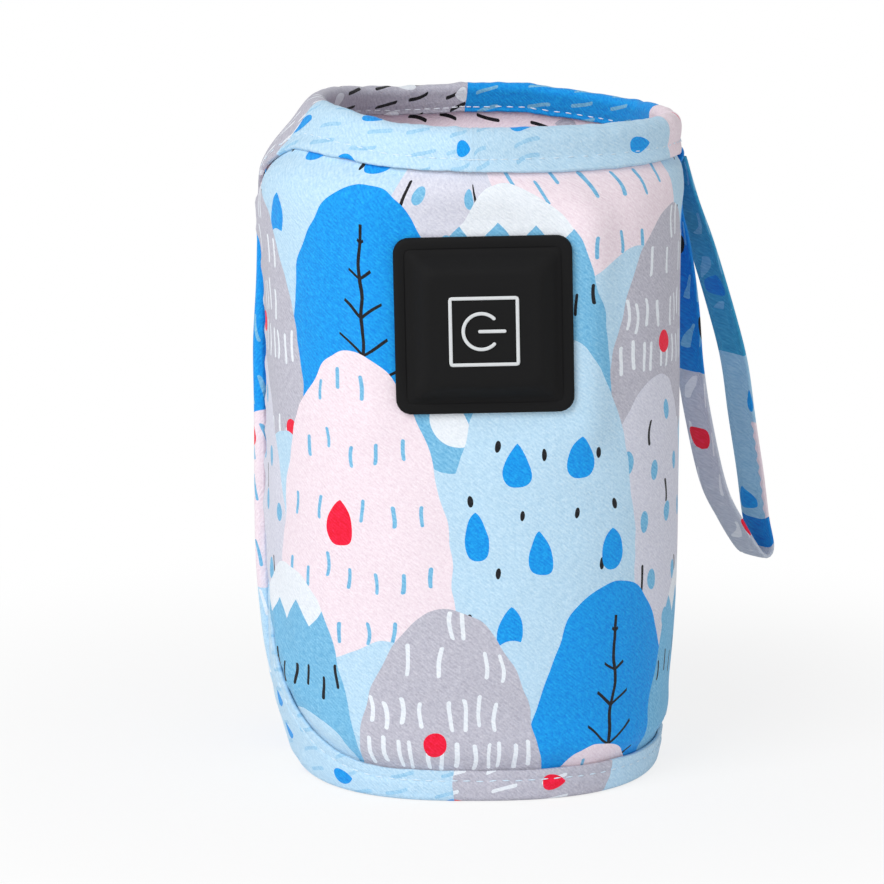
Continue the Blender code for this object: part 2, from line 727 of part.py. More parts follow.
def build_pad(frame):
    """Silicone pad frame and the raised button that slides in it."""
    border = PAD_BACK - PAD_BORDER
    loops = [
        rounded_square(PAD_WIDTH, PAD_CORNER, PAD_BACK),
        rounded_square(PAD_WIDTH, PAD_CORNER, PAD_BACK - PAD_EDGE),
        rounded_square(PAD_WIDTH - 2 * PAD_CHAMFER, PAD_CORNER - PAD_CHAMFER, border),
        rounded_square(PAD_SLOPE_WIDTH, PAD_CORNER - PAD_CHAMFER, border),
        rounded_square(PAD_SLOPE_TOP, BUTTON_CORNER, PAD_BACK - PAD_RISE),
    ]
    pad = add_mesh("button_pad", loft(loops), "black_silicone", frame)
    opening = BUTTON_WIDTH + 2 * BUTTON_CLEARANCE
    corner = BUTTON_CORNER + BUTTON_CLEARANCE
    ends = (PAD_BACK + PAD_RISE, PAD_BACK - 2 * PAD_RISE)
    through = loft([rounded_square(opening, corner, y) for y in ends])
    cut(pad, add_mesh("pad_opening", through, "black_silicone", frame))

    back = BUTTON_FACE + BUTTON_PLATE
    loops = [
        disc_outline(STEM_RADIUS, PLUNGER_TIP - GAP),
        disc_outline(STEM_RADIUS, back),
        rounded_square(BUTTON_WIDTH, BUTTON_CORNER, back),
        rounded_square(BUTTON_WIDTH, BUTTON_CORNER, BUTTON_FACE + BUTTON_CHAMFER),
        rounded_square(BUTTON_WIDTH - 2 * BUTTON_CHAMFER, BUTTON_CORNER, BUTTON_FACE),
    ]
    add_mesh("power_button", loft(loops), "black_silicone", frame)


def build_icon(frame):
    """Power mark on the button: a square outline, an open ring and a bar through its opening."""
    back = BUTTON_FACE - ICON_GAP
    face = back - ICON_THICK
    half = ICON_STROKE / 2
    drop = Vector((0.0, 0.0, -ICON_DROP))
    frame_rows = []
    for width in (ICON_FRAME_WIDTH, ICON_FRAME_WIDTH - 2 * ICON_STROKE):
        corner = ICON_FRAME_CORNER - (ICON_FRAME_WIDTH - width) / 4
        fronts = [point + drop for point in rounded_square(width, corner, face)]
        backs = [point + drop for point in rounded_square(width, corner, back)]
        frame_rows.append(list(zip(fronts, backs)))
    add_mesh("icon_frame", thick_sheet(frame_rows, ring=True), "grey_ink", frame)

    sweep = 2 * math.pi - ICON_RING_OPENING
    angles = [ICON_RING_OPENING / 2 + sweep * step / ROUND_STEPS for step in range(ROUND_STEPS + 1)]
    ring_rows = []
    for radius in (ICON_RING_RADIUS, ICON_RING_RADIUS - ICON_STROKE):
        turns = [(ICON_RING_X + radius * math.cos(angle), radius * math.sin(angle)) for angle in angles]
        ring_rows.append([(Vector((x, face, z)) + drop, Vector((x, back, z)) + drop) for x, z in turns])
    add_mesh("icon_ring", thick_sheet(ring_rows), "grey_ink", frame)

    end = ICON_BAR_LENGTH - ICON_BAR_START
    bar = box_shape((-ICON_BAR_START, face, -half - ICON_DROP), (end, back, half - ICON_DROP))
    add_mesh("icon_bar", bar, "grey_ink", frame)


def screw_places():
    """Two opposite corners of the board, set back from its edges."""
    reach = BOARD_WIDTH / 2 - SCREW_SETBACK
    return ((reach, reach), (-reach, -reach))


def build_control(frame, cover, foam):
    """Tray, board and switch behind the pad, and the windows that they need in the wall."""
    loops = [rounded_square(HOUSING_WIDTH, HOUSING_CORNER, y) for y in (0.0, HOUSING_DEPTH)]
    housing = add_mesh("switch_housing", loft(loops), "black_plastic", frame)
    inside = HOUSING_WIDTH - 2 * HOUSING_WALL
    corner = HOUSING_CORNER - HOUSING_WALL
    ends = (-HOUSING_DEPTH, HOUSING_DEPTH - HOUSING_FLOOR)
    pocket = loft([rounded_square(inside, corner, y) for y in ends])
    cut(housing, add_mesh("housing_pocket", pocket, "black_plastic", frame))
    notch = box_shape(
        (NOTCH_LEFT, LEAD_DEPTH - GROOVE_HALF, -HOUSING_WIDTH),
        (NOTCH_RIGHT, LEAD_DEPTH + GROOVE_HALF, -BOARD_WIDTH / 2),
    )
    cut(housing, add_mesh("lead_notch", notch, "black_plastic", frame))

    loops = [rounded_square(BOARD_WIDTH, BOARD_CORNER, y) for y in (BOARD_FACE, BOARD_BACK)]
    board = add_mesh("circuit_board", loft(loops), "green_laminate", frame)

    half = SWITCH_WIDTH / 2
    body = box_shape((-half, SWITCH_FACE, -half), (half, SWITCH_BACK, half))
    switch = add_mesh("tact_switch", body, "black_plastic", frame)
    bore = rod_shape(PLUNGER_RADIUS + PLUNGER_CLEARANCE, PLUNGER_TIP, SWITCH_BACK - SWITCH_FLOOR)
    cut(switch, add_mesh("switch_bore", bore, "black_plastic", frame))
    plunger = rod_shape(PLUNGER_RADIUS, PLUNGER_TIP, PLUNGER_END)
    add_mesh("switch_plunger", plunger, "grey_ink", frame)

    for index in range(LED_COUNT):
        angle = math.radians(90.0) + index * 2 * math.pi / LED_COUNT
        x = LED_RADIUS * math.cos(angle)
        z = LED_RADIUS * math.sin(angle)
        low = (x - LED_SIZE[0] / 2, SWITCH_BACK - LED_SIZE[1], z - LED_SIZE[2] / 2)
        high = (x + LED_SIZE[0] / 2, SWITCH_BACK, z + LED_SIZE[2] / 2)
        add_mesh(f"indicator_led_{index + 1}", box_shape(low, high), "clear_lens", frame)

    head = SWITCH_BACK - SCREW_HEAD_THICK
    for index, (x, z) in enumerate(screw_places(), 1):
        hole = rod_shape(SCREW_SHANK_RADIUS + SCREW_CLEARANCE, BOARD_FACE - GAP, 2 * HOUSING_DEPTH)
        drill = add_mesh(f"screw_hole_{index}", hole, "steel", frame)
        drill.location = (x, 0.0, z)
        cut(board, drill)
        cut(housing, drill)
        profile = [
            (0.0, head), (SCREW_HEAD_RADIUS, head), (SCREW_HEAD_RADIUS, SWITCH_BACK),
            (SCREW_SHANK_RADIUS, SWITCH_BACK), (SCREW_SHANK_RADIUS, HOUSING_DEPTH), (0.0, HOUSING_DEPTH),
        ]
        screw = add_mesh(f"board_screw_{index}", turned_shape(profile), "steel", frame)
        screw.location = (x, 0.0, z)

    half = HOUSING_WIDTH / 2 + HOUSING_CLEARANCE
    window = box_shape((-half, -2 * HOUSING_DEPTH, -half), (half, 2 * HOUSING_DEPTH, half))
    opening = add_mesh("wall_window", window, "white_foam", frame)
    cut(cover, opening)
    cut(foam, opening)
    pocket = box_shape(
        (NOTCH_LEFT - POCKET_SIDE, -2 * HOUSING_DEPTH, -HOUSING_WIDTH / 2 - POCKET_DROP),
        (NOTCH_RIGHT + POCKET_SIDE, 2 * HOUSING_DEPTH, 0.0),
    )
    cut(foam, add_mesh("foam_pocket", pocket, "white_foam", frame))


def on_film(size, x, drop):
    """Box that lies on the heating film's outer face below the pad's centre."""
    place = front_point(PAD_X + x, PAD_Z - drop, SENSOR_INSET)
    half_x = size[0] / 2
    half_z = size[2] / 2
    low = (place.x - half_x, place.y - size[1], place.z - half_z)
    high = (place.x + half_x, place.y, place.z + half_z)
    return box_shape(low, high)


def build_leads(frame, cover, foam):
    """Heater leads, sensor, cut-out, and the supply lead that runs round to the back."""
    to_world = Matrix.Translation(frame.location) @ Matrix.Rotation(PAD_ROLL, 4, "Y")
    start = -BOARD_WIDTH / 2 - GAP
    past_wall = -HOUSING_WIDTH / 2 - HOUSING_CLEARANCE
    for name, side, finish in (("a", -1.0, "red_sleeve"), ("b", 1.0, "white_sleeve")):
        x = side * LEAD_SPREAD
        route = [
            to_world @ Vector((x, LEAD_DEPTH, start)),
            to_world @ Vector((x, LEAD_DEPTH, past_wall)),
            front_point(PAD_X + x, PAD_Z - (LEAD_DROP - past_wall) / 2, LEAD_INSET),
            front_point(PAD_X + x, PAD_Z - LEAD_DROP, LEAD_INSET),
        ]
        tube(f"heater_lead_{name}", route, LEAD_RADIUS, finish)
    add_mesh("temperature_sensor", on_film(SENSOR_SIZE, 0.0, SENSOR_DROP), "steel")
    add_mesh("thermal_cutout", on_film(CUTOUT_SIZE, 0.0, CUTOUT_DROP), "white_sleeve")

    x = PAD_X + SUPPLY_X
    pocket_end = PAD_Z - HOUSING_WIDTH / 2 - POCKET_DROP
    route = [to_world @ Vector((SUPPLY_X, LEAD_DEPTH, z)) for z in (start, past_wall)]
    for z in (pocket_end, (pocket_end + SUPPLY_Z) / 2, SUPPLY_Z + SUPPLY_BEND):
        route.append(front_point(x, z, SUPPLY_INSET))
    first = front_angle(x + SUPPLY_BEND, SUPPLY_Z, SUPPLY_INSET)
    last = 2.5 * math.pi
    spans = RING_COLUMNS // 2
    for span in range(spans + 1):
        angle = first + (last - first) * span / spans
        route.append(wall_point(angle, SUPPLY_Z, SUPPLY_INSET))
    tube("supply_lead", route, SUPPLY_RADIUS, "black_plastic")
    slot_half = SUPPLY_RADIUS + 2 * SUPPLY_CLEARANCE
    slot = box_shape(
        (x - slot_half, -2 * DEPTH_HALF, SUPPLY_Z),
        (x + slot_half, -DEPTH_HALF / 2, pocket_end + SUPPLY_BEND),
    )
    cut(foam, add_mesh("lead_slot", slot, "white_foam"))

    back = depth_half(SUPPLY_Z)
    profile = [
        (SUPPLY_RADIUS + SUPPLY_CLEARANCE, GAP + GROMMET_FLANGE), (GROMMET_RADIUS, GAP + GROMMET_FLANGE),
        (GROMMET_RADIUS, GAP), (GROMMET_NECK, GAP),
        (GROMMET_NECK, -GROOVE_INSET), (SUPPLY_RADIUS + SUPPLY_CLEARANCE, -GROOVE_INSET),
    ]
    grommet = add_mesh("lead_grommet", turned_shape(profile), "black_plastic")
    grommet.location = (0.0, back, SUPPLY_Z)
    hole = rod_shape(GROMMET_NECK + GAP, -FOAM_INNER - GAP, GROMMET_RADIUS)
    drill = add_mesh("grommet_hole", hole, "black_plastic")
    drill.location = (0.0, back, SUPPLY_Z)
    cut(cover, drill)
    cut(foam, drill)


def strap_pivot():
    """Place where the strap swings, just outside the cover under the mouth binding."""
    root = wall_point(STRAP_ANGLE, STRAP_Z, 0.0)
    return root + STRAP_PIVOT_OUT * Vector((math.cos(STRAP_YAW), math.sin(STRAP_YAW), 0.0))


def build_strap():
    """Sewn tab on the cover and the fabric loop that swings from it."""
    pivot = add_empty("strap_pivot", strap_pivot())
    pivot.rotation_euler = (0.0, 0.0, STRAP_YAW)
    half = STRAP_WIDTH / 2
    reach = STRAP_PIVOT_OUT - 2 * GAP
    bar = []
    for step in range(2 * ARC_STEPS + 1):
        turn = -math.pi / 2 + math.pi * step / (2 * ARC_STEPS)
        bar.append((STRAP_BAR_RADIUS * math.cos(turn), STRAP_BAR_RADIUS * math.sin(turn)))
    bar += [(-reach, STRAP_BAR_RADIUS), (-reach, -STRAP_BAR_RADIUS)]
    tab = loft([[Vector((x, y, z)) for x, z in bar] for y in (-half, half)])
    add_mesh("strap_anchor", tab, "light_binding", pivot)

    route = smooth_route([Vector((x, 0.0, z)) for x, z in STRAP_ROUTE])
    rows = []
    for index, place in enumerate(route):
        ahead = route[min(index + 1, len(route) - 1)] - route[max(index - 1, 0)]
        side = Vector((ahead.z, 0.0, -ahead.x)).normalized() * STRAP_THICK / 2
        across = [Vector((0.0, y, 0.0)) for y in (-half, half)]
        rows.append([(place + shift + side, place + shift - side) for shift in across])
    add_mesh("hanging_strap", thick_sheet(rows), "printed_twill", pivot)


def main():
    """Build every piece of the sleeve."""
    for old in list(bpy.data.objects):
        bpy.data.objects.remove(old, do_unlink=True)
    cover = build_outer_cover()
    foam = build_foam()
    build_heater()
    build_lining()
    build_mouth_binding()
    build_side_binding()
    build_base()
    frame = add_empty("pad_frame", (PAD_X, -SEAT_DEPTH, PAD_Z))
    frame.rotation_euler = (0.0, PAD_ROLL, 0.0)
    build_pad(frame)
    build_icon(frame)
    build_control(frame, cover, foam)
    build_leads(frame, cover, foam)
    build_strap()


main()
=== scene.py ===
"""Dressed model of a heated bottle sleeve: sewn printed cloth, a silicone button pad and a loop.

Sizes are in metres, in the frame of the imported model: the sleeve stands on z = 0, its pad faces
-Y, its bound side seam is at -X and its hanging loop at +X.
"""
from __future__ import annotations

import logging
import math
from dataclasses import dataclass, replace
from enum import Enum, auto
from functools import cached_property
from typing import Callable, NamedTuple, Sequence

import bmesh
import bpy
import numpy as np
from bmesh.types import BMEdge, BMesh, BMFace, BMVert
from mathutils import Matrix, Vector, noise


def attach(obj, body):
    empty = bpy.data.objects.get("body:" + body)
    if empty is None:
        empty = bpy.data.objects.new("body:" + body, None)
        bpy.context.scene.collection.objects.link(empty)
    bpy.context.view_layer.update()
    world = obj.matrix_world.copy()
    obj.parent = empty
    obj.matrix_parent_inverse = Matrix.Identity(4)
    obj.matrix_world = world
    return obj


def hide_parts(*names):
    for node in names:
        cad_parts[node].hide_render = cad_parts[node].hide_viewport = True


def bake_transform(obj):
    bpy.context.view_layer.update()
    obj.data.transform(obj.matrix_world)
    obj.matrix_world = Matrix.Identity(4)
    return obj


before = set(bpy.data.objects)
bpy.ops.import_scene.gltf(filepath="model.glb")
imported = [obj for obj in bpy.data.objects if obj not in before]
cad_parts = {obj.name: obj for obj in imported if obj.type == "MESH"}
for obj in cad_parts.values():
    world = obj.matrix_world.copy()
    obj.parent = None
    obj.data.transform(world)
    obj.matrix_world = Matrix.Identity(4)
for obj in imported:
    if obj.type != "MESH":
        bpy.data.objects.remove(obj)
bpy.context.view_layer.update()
CLOTH_MAP = "cloth"
MERGE_GAP = 1e-6
CUT_GAP = 1e-7
WINDOW_SEARCH = 1.5
Pair = tuple[float, float]
Triple = tuple[float, float, float]
Rgba = tuple[float, float, float, float]
log = logging.getLogger("sleeve")


def clamp(value: float) -> float:
    """Limit a value to the range from 0 to 1."""
    return min(max(value, 0.0), 1.0)


def smooth(value: float) -> float:
    """Ease a value from 0 to 1 with level ends."""
    held = clamp(value)
    return held * held * (3.0 - 2.0 * held)


def ease(value: float, low: float, high: float) -> float:
    """Ease from 0 at a low end to 1 at a high end."""
    return smooth((value - low) / (high - low))


def between(low: float, high: float, share: float) -> float:
    """Value at a share of the way from a low end to a high end."""
    return low + share * (high - low)


def signed_power(value: float, exponent: float) -> float:
    """Raise a value's size to a power and keep its sign."""
    return math.copysign(abs(value) ** exponent, value)


def ripple(x: float, y: float, layer: float) -> float:
    """Soft unevenness between about -0.5 and 0.5, the same on every run."""
    return 0.5 * noise.noise(Vector((x, y, layer)))


def ring_ripple(turn: float, radius: float, layer: float) -> float:
    """Soft unevenness between about -1 and 1 that closes on itself once round."""
    return noise.noise(Vector((radius * math.cos(turn), radius * math.sin(turn), layer)))


@dataclass(frozen=True)
class Swell:
    """Bell-shaped swell: its height, where its top lies and how wide it is."""

    height: float
    centre: float
    width: float

    def at(self, place: float) -> float:
        """Height of the swell at a place."""
        return self.height * math.exp(-(((place - self.centre) / self.width) ** 2))


@dataclass(frozen=True)
class Ripple:
    """Soft unevenness: its height, how fast it runs along and across, its layer and where it starts."""

    height: float
    rates: Pair
    layer: float
    start: float = 0.0

    def at(self, along: float, across: float = 0.0) -> float:
        """Height of the unevenness at a place."""
        return self.height * ripple(along * self.rates[0], self.start + across * self.rates[1], self.layer)


@dataclass(frozen=True)
class Pucker:
    """Row of puckers: their height and pitch, and how unevenly they follow each other."""

    height: float
    pitch: float
    drift: float
    rate: float
    layer: Pair

    def at(self, along: float) -> float:
        """Height of the puckers at a length along their row."""
        late = self.drift * ripple(along * self.rate, *self.layer)
        return self.height * math.sin(math.tau * along / self.pitch + late)


# Shader nodes


class Socket:
    """Output of a shader node that takes part in Python arithmetic."""

    def __init__(self, graph: Graph, output: bpy.types.NodeSocket) -> None:
        """Keep the output and the graph that it belongs to."""
        self.graph = graph
        self.output = output

    def __add__(self, other: Value) -> Socket:
        """Sum."""
        return self.graph.math("ADD", self, other)

    __radd__ = __add__

    def __sub__(self, other: Value) -> Socket:
        """Difference."""
        return self.graph.math("SUBTRACT", self, other)

    def __rsub__(self, other: Value) -> Socket:
        """Difference from a value on the left."""
        return self.graph.math("SUBTRACT", other, self)

    def __mul__(self, other: Value) -> Socket:
        """Product."""
        return self.graph.math("MULTIPLY", self, other)

    __rmul__ = __mul__

    def __truediv__(self, other: Value) -> Socket:
        """Quotient."""
        return self.graph.math("DIVIDE", self, other)

    def __pow__(self, other: Value) -> Socket:
        """Power."""
        return self.graph.math("POWER", self, other)

    def __abs__(self) -> Socket:
        """Size without its sign."""
        return self.graph.math("ABSOLUTE", self)

    def __lt__(self, other: Value) -> Socket:
        """Mask of where this is below the other."""
        return self.graph.math("LESS_THAN", self, other)

    def __gt__(self, other: Value) -> Socket:
        """Mask of where this is above the other."""
        return self.graph.math("GREATER_THAN", self, other)

    def __and__(self, other: Socket) -> Socket:
        """Mask of where both masks hold."""
        return self.graph.math("MULTIPLY", self, other)

    def __or__(self, other: Socket) -> Socket:
        """Mask of where either mask holds."""
        return self.graph.math("MAXIMUM", self, other)

    def __invert__(self) -> Socket:
        """Mask of where this mask doesn't hold."""
        return self.graph.math("SUBTRACT", 1.0, self)

    def run(self, share: float, start: float) -> Socket:
        """Share of the value, from a start."""
        return self * share + start

    def beside(self, output: int | str) -> Socket:
        """Another output of the same node."""
        return Socket(self.graph, self.output.node.outputs[output])


Value = Socket | float
Colour = Socket | tuple


class Graph:
    """Nodes of one material or of the world."""

    def __init__(self, owner: bpy.types.Material | bpy.types.World) -> None:
        """Start from the shader that a new material or world comes with.

        Args:
            owner: The material or world.
        """
        owner.use_nodes = True
        self.tree = owner.node_tree
        self.shader = next(node for node in self.tree.nodes if node.outputs)

    def node(
        self, kind: str, settings: dict | None = None, sockets: dict | None = None,
        output: int | str = 0,
    ) -> Socket:
        """Add one node.

        Args:
            kind: Blender's name for the node's type.
            settings: Properties of the node, set before its sockets.
            sockets: Values or links by socket name or number.
            output: Name or number of the output that is wanted.

        Returns:
            The output, ready for arithmetic.
        """
        made = self.tree.nodes.new(kind)
        for name, value in (settings or {}).items():
            setattr(made, name, value)
        for key, value in (sockets or {}).items():
            self.feed(made.inputs[key], value)
        return Socket(self, made.outputs[output])

    def feed(self, socket: bpy.types.NodeSocket, value: Value | Colour) -> None:
        """Link an output to a socket, or set the socket's own value.

        Args:
            socket: Socket that takes the value.
            value: Output of a node, or a plain number, colour or vector.
        """
        if isinstance(value, Socket):
            self.tree.links.new(value.output, socket)
        else:
            socket.default_value = value

    def set(self, **sockets: Value | Colour) -> None:
        """Feed the graph's shader, with underscores for the spaces in its socket names."""
        for name, value in sockets.items():
            self.feed(self.shader.inputs[name.replace("_", " ")], value)

    def math(self, operation: str, *values: Value) -> Socket:
        """Add one Math node over its values."""
        return self.node("ShaderNodeMath", {"operation": operation}, dict(enumerate(values)))

    def near(self, value: Value, target: Value, reach: float) -> Socket:
        """Mask of where a value lies within reach of a target."""
        return self.math("COMPARE", value, target, reach)

    def wrap(self, value: Value, length: float) -> Socket:
        """Value repeated so that it runs from minus half a length to half a length."""
        return self.math("WRAP", value, length / 2, -length / 2)

    def mix(self, share: Value, low: Colour, high: Colour, blend: str = "MIX") -> Socket:
        """Mix two colours by the share of the second one that shows."""
        settings = {"data_type": "RGBA", "blend_type": blend}
        return self.node("ShaderNodeMix", settings, {0: share, 6: low, 7: high}, 2)

    def shaded(self, colour: Colour, shade: Socket) -> Socket:
        """Colour made lighter or darker by a shade."""
        return self.mix(1.0, colour, shade, "MULTIPLY")

    def moved(self, value: Socket, by: float) -> Socket:
        """Value moved by a length, with no node where the length is 0."""
        return value + by if by else value

    def cloth(self) -> tuple[Socket, Socket]:
        """Cloth coordinates of a piece.

        Returns:
            Lengths along and across the piece's cut, in metres.
        """
        place = self.node("ShaderNodeUVMap", {"uv_map": CLOTH_MAP})
        along = self.node("ShaderNodeSeparateXYZ", sockets={0: place})
        return along, along.beside(1)

    def vector(self, x: Value, y: Value, z: Value = 0.0) -> Socket:
        """Vector of three values."""
        return self.node("ShaderNodeCombineXYZ", sockets={0: x, 1: y, 2: z})

    def grain(self, scale: float, place: Socket | None = None, detail: float = 2.0) -> Socket:
        """Noise from 0 to 1, so many grains to the metre, on the piece's own coordinates if given none."""
        where = place or self.node("ShaderNodeTexCoord", output="Object")
        return self.node("ShaderNodeTexNoise", sockets={"Vector": where, "Scale": scale, "Detail": detail})

    def background_rays(self) -> Socket:
        """Mask of the rays that come from the camera, from a mirror or through glass."""
        camera = self.node("ShaderNodeLightPath", output="Is Camera Ray")
        return camera | camera.beside("Is Glossy Ray") | camera.beside("Is Transmission Ray")

    def bump(self, height: Socket, distance: float, strength: float = 1.0) -> None:
        """Give the shader a fine relief."""
        sockets = {"Height": height, "Distance": distance, "Strength": strength}
        self.set(Normal=self.node("ShaderNodeBump", sockets=sockets))


# Colours and finishes


class Dye(Enum):
    """Colours of the print, the tapes and the pad's ink, one of them a painted shade, as sRGB hex."""

    BRIGHT = "0F9BEF"
    SKY = "7ABEE5"
    # The print's bright blue darkened: painted shade for the loop, which hangs in the sleeve's shadow.
    PAINTED_SHADE_BLUE = "0A86DC"
    TEAL = "39A4D2"
    HAZE = "A3D2F0"
    PALE = "C0E1F7"
    GREY = "C1C0CD"
    ASH = "CAD2E1"
    PINK = "F6E6EF"
    MIST = "DCDDEB"
    RED = "F5153C"
    BLACK = "15151A"
    WHITE = "EEF4FB"
    FROST = "D9ECF9"
    INK = "D5D8DA"

    @property
    def rgba(self) -> Rgba:
        """Linear colour for a shader socket.

        Returns:
            Red, green and blue from 0 to 1, and full cover.
        """
        parts = [int(self.value[at:at + 2], 16) / 255.0 for at in (0, 2, 4)]
        line = [p / 12.92 if p <= 0.04045 else ((p + 0.055) / 1.055) ** 2.4 for p in parts]
        return (*line, 1.0)


class Mark(Enum):
    """Shapes of the small marks in the print."""

    STROKE = auto()
    DROP = auto()
    SEED = auto()


class Dressing(Enum):
    """What a hill of the print wears under its scattered marks."""

    PLAIN = auto()
    TWIGS = auto()
    SNOW = auto()


class Cell(NamedTuple):
    """Place across and up within a cell of a scatter, and a chance from 0 to 1 for the whole cell."""

    across: Socket
    up: Socket
    chance: Socket


@dataclass(frozen=True)
class Finish:
    """One surface finish, made into a material the first time that it is used."""

    name: str

    def material(self) -> bpy.types.Material:
        """Material of this finish.

        Returns:
            The material, the same one each time.
        """
        made = bpy.data.materials.get(self.name)
        if not made:
            made = bpy.data.materials.new(self.name)
            self.paint(Graph(made))
        return made

    def paint(self, graph: Graph) -> None:
        """Add this finish's nodes to a graph."""
        raise NotImplementedError


@dataclass(frozen=True)
class Twill(Finish):
    """Brushed cotton twill; printed kinds say what colour lies where."""

    dye: Dye = Dye.WHITE
    rib: float = 0.00085
    relief: float = 0.00016
    relief_strength: float = 0.75
    roughness: float = 0.82
    rough_run: float = 0.16
    sheen: float = 0.12
    sheen_roughness: float = 0.5
    specular: float = 0.25
    bias: float = 0.8
    fuzz_scale: float = 2300.0
    fuzz_detail: float = 3.0
    nap_scale: float = 1500.0
    nap_stretch: float = 0.38
    drift_scale: float = 110.0
    drift_shift: float = 0.003
    weave_mix: Triple = (0.07, 1.3, 1.1)
    shade_mix: Triple = (0.14, 0.07, 0.785)
    steep: Pair = (1.66, 0.55)
    cell_margin: float = 0.35
    cell_play: float = 0.3
    stroke_bend: float = 90.0
    drop_taper: Pair = (0.4, 0.8)
    drop_fullness: float = 2.15

    def colour(self, graph: Graph, u: Socket, v: Socket) -> Colour:
        """Colour over the cloth before its weave shows."""
        return self.dye.rgba

    def paint(self, graph: Graph) -> None:
        """Print the cloth, then break it up with ribs and fuzz, which show most in its deeper dyes.

        Args:
            graph: Takes the nodes.
        """
        u, v = graph.cloth()
        colour = self.colour(graph, u, v)
        place = graph.vector(u, v)
        fuzz = graph.grain(self.fuzz_scale, place, self.fuzz_detail)
        drift = graph.grain(self.drift_scale, place)
        nap_place = graph.vector(u * self.bias + v, (u - v * self.bias) * self.nap_stretch)
        nap = graph.grain(self.nap_scale, nap_place)
        ribs = graph.math("SINE", (u * self.bias + v + drift * self.drift_shift) * (math.tau / self.rib))
        weave = ribs * self.weave_mix[0] + nap * self.weave_mix[1] + fuzz * self.weave_mix[2]
        shade = weave * self.shade_mix[0] + drift * self.shade_mix[1] + self.shade_mix[2]
        gamma = self.steep[0] - weave * self.steep[1]
        steeped = graph.node("ShaderNodeGamma", sockets={"Color": colour, "Gamma": gamma})
        graph.set(
            Base_Color=graph.shaded(steeped, shade),
            Roughness=fuzz * self.rough_run + (self.roughness - self.rough_run / 2),
            Sheen_Weight=self.sheen, Sheen_Roughness=self.sheen_roughness,
            Specular_IOR_Level=self.specular,
        )
        graph.bump(weave, self.relief, self.relief_strength)

    def cells(self, graph: Graph, x: Value, y: Value, size: Pair) -> Cell:
        """Scatter cells in brick rows, each with its own small shift.

        Args:
            graph: Takes the nodes.
            x: Coordinate along the rows.
            y: Coordinate across the rows.
            size: Width and height of a cell.

        Returns:
            The place within a cell, from the middle of its mark, and the cell's chance.
        """
        width, height = size
        row = graph.math("FLOOR", y / height)
        along = x / width + row * 0.5
        column = graph.math("FLOOR", along)
        dice = graph.node(
            "ShaderNodeTexWhiteNoise", {"noise_dimensions": "2D"},
            {"Vector": graph.vector(column, row)}, "Color",
        )
        aside = graph.node("ShaderNodeSeparateColor", sockets={0: dice})
        lift = aside.beside(1)
        across = (along - column - self.cell_margin - aside * self.cell_play) * width
        up = (y / height - row - self.cell_margin - lift * self.cell_play) * height
        return Cell(across, up, aside.beside(2))

    def mark(self, graph: Graph, shape: Mark, cell: Cell, size: Pair) -> Socket:
        """Draw one mark in each cell: a bent pen stroke, a drop with its point up, or an oval seed.

        Args:
            graph: Takes the nodes.
            shape: Shape of the mark.
            cell: Place within the cell and the cell's chance.
            size: Width and length of the mark.

        Returns:
            Mask of the marks.
        """
        wide, long = size
        if shape is Mark.STROKE:
            bent = cell.across + cell.up * cell.up * ((cell.chance - 0.5) * self.stroke_bend)
            past = graph.math("MAXIMUM", abs(cell.up) - (long - wide) / 2, 0.0)
            return bent * bent + past * past < (wide / 2) ** 2
        if shape is Mark.DROP:
            down = graph.math("MAXIMUM", 0.5 - cell.up / long, 0.0)
            left = graph.math("MAXIMUM", 0.5 + cell.up / long, 0.0)
            round_end, point = self.drop_taper
            return abs(cell.across) < left ** round_end * down ** point * (self.drop_fullness * wide / 2)
        return (cell.across / (wide / 2)) ** 2.0 + (cell.up / (long / 2)) ** 2.0 < 1.0


@dataclass(frozen=True)
class Motif:
    """Mark that is scattered over a hill of the print, one to a cell.

    Attributes:
        size: Width and length of the mark.
        cell: Width and height of a cell.
        shift: Shift of the cells across and up.
        lean: How far the cells lean aside for each length up.
        limit: How near to the hill's edge a mark may stand, 1 being on it, or None.
        belt: Middle and half height of the belt that the marks keep to, or None.
        belt_repeat: Height after which the belt comes again, or 0.
        clear: Whether the marks keep clear of those drawn before.
    """

    shape: Mark
    dye: Dye
    size: Pair
    cell: Pair
    shift: Pair = (0.0, 0.0)
    lean: float = 0.0
    limit: float | None = 0.72
    belt: Pair | None = None
    belt_repeat: float = 0.0
    clear: bool = False


@dataclass(frozen=True)
class Hill:
    """One hill of the print: its place across the repeat, its size and dye, and what is drawn on it."""

    centre: float
    half: float
    rise: float
    power: float
    dye: Dye
    motifs: tuple[Motif, ...] = ()
    dressing: Dressing = Dressing.PLAIN


FRONT_HILLS = (
    Hill(0.036, 0.0225, 0.064, 2.3, Dye.SKY, (
        Motif(
            Mark.STROKE, Dye.BLACK, (0.0008, 0.0048), (0.0042, 0.0115), limit=None, belt=(0.0384, 0.0065),
        ),
        Motif(Mark.DROP, Dye.WHITE, (0.0085, 0.0125), (0.021, 0.026), lean=0.3, belt=(-0.00312, 0.03)),
    ), Dressing.SNOW),
    Hill(0.079, 0.0235, 0.058, 2.0, Dye.GREY, (
        Motif(
            Mark.STROKE, Dye.WHITE, (0.001, 0.0066), (0.0034, 0.01), limit=0.9, belt=(0.004, 0.0075),
            belt_repeat=0.024,
        ),
        Motif(Mark.SEED, Dye.RED, (0.005, 0.005), (0.03, 0.024), (0.0, 0.006)),
    )),
    Hill(0.118, 0.022, 0.063, 2.2, Dye.BRIGHT, dressing=Dressing.TWIGS),
)
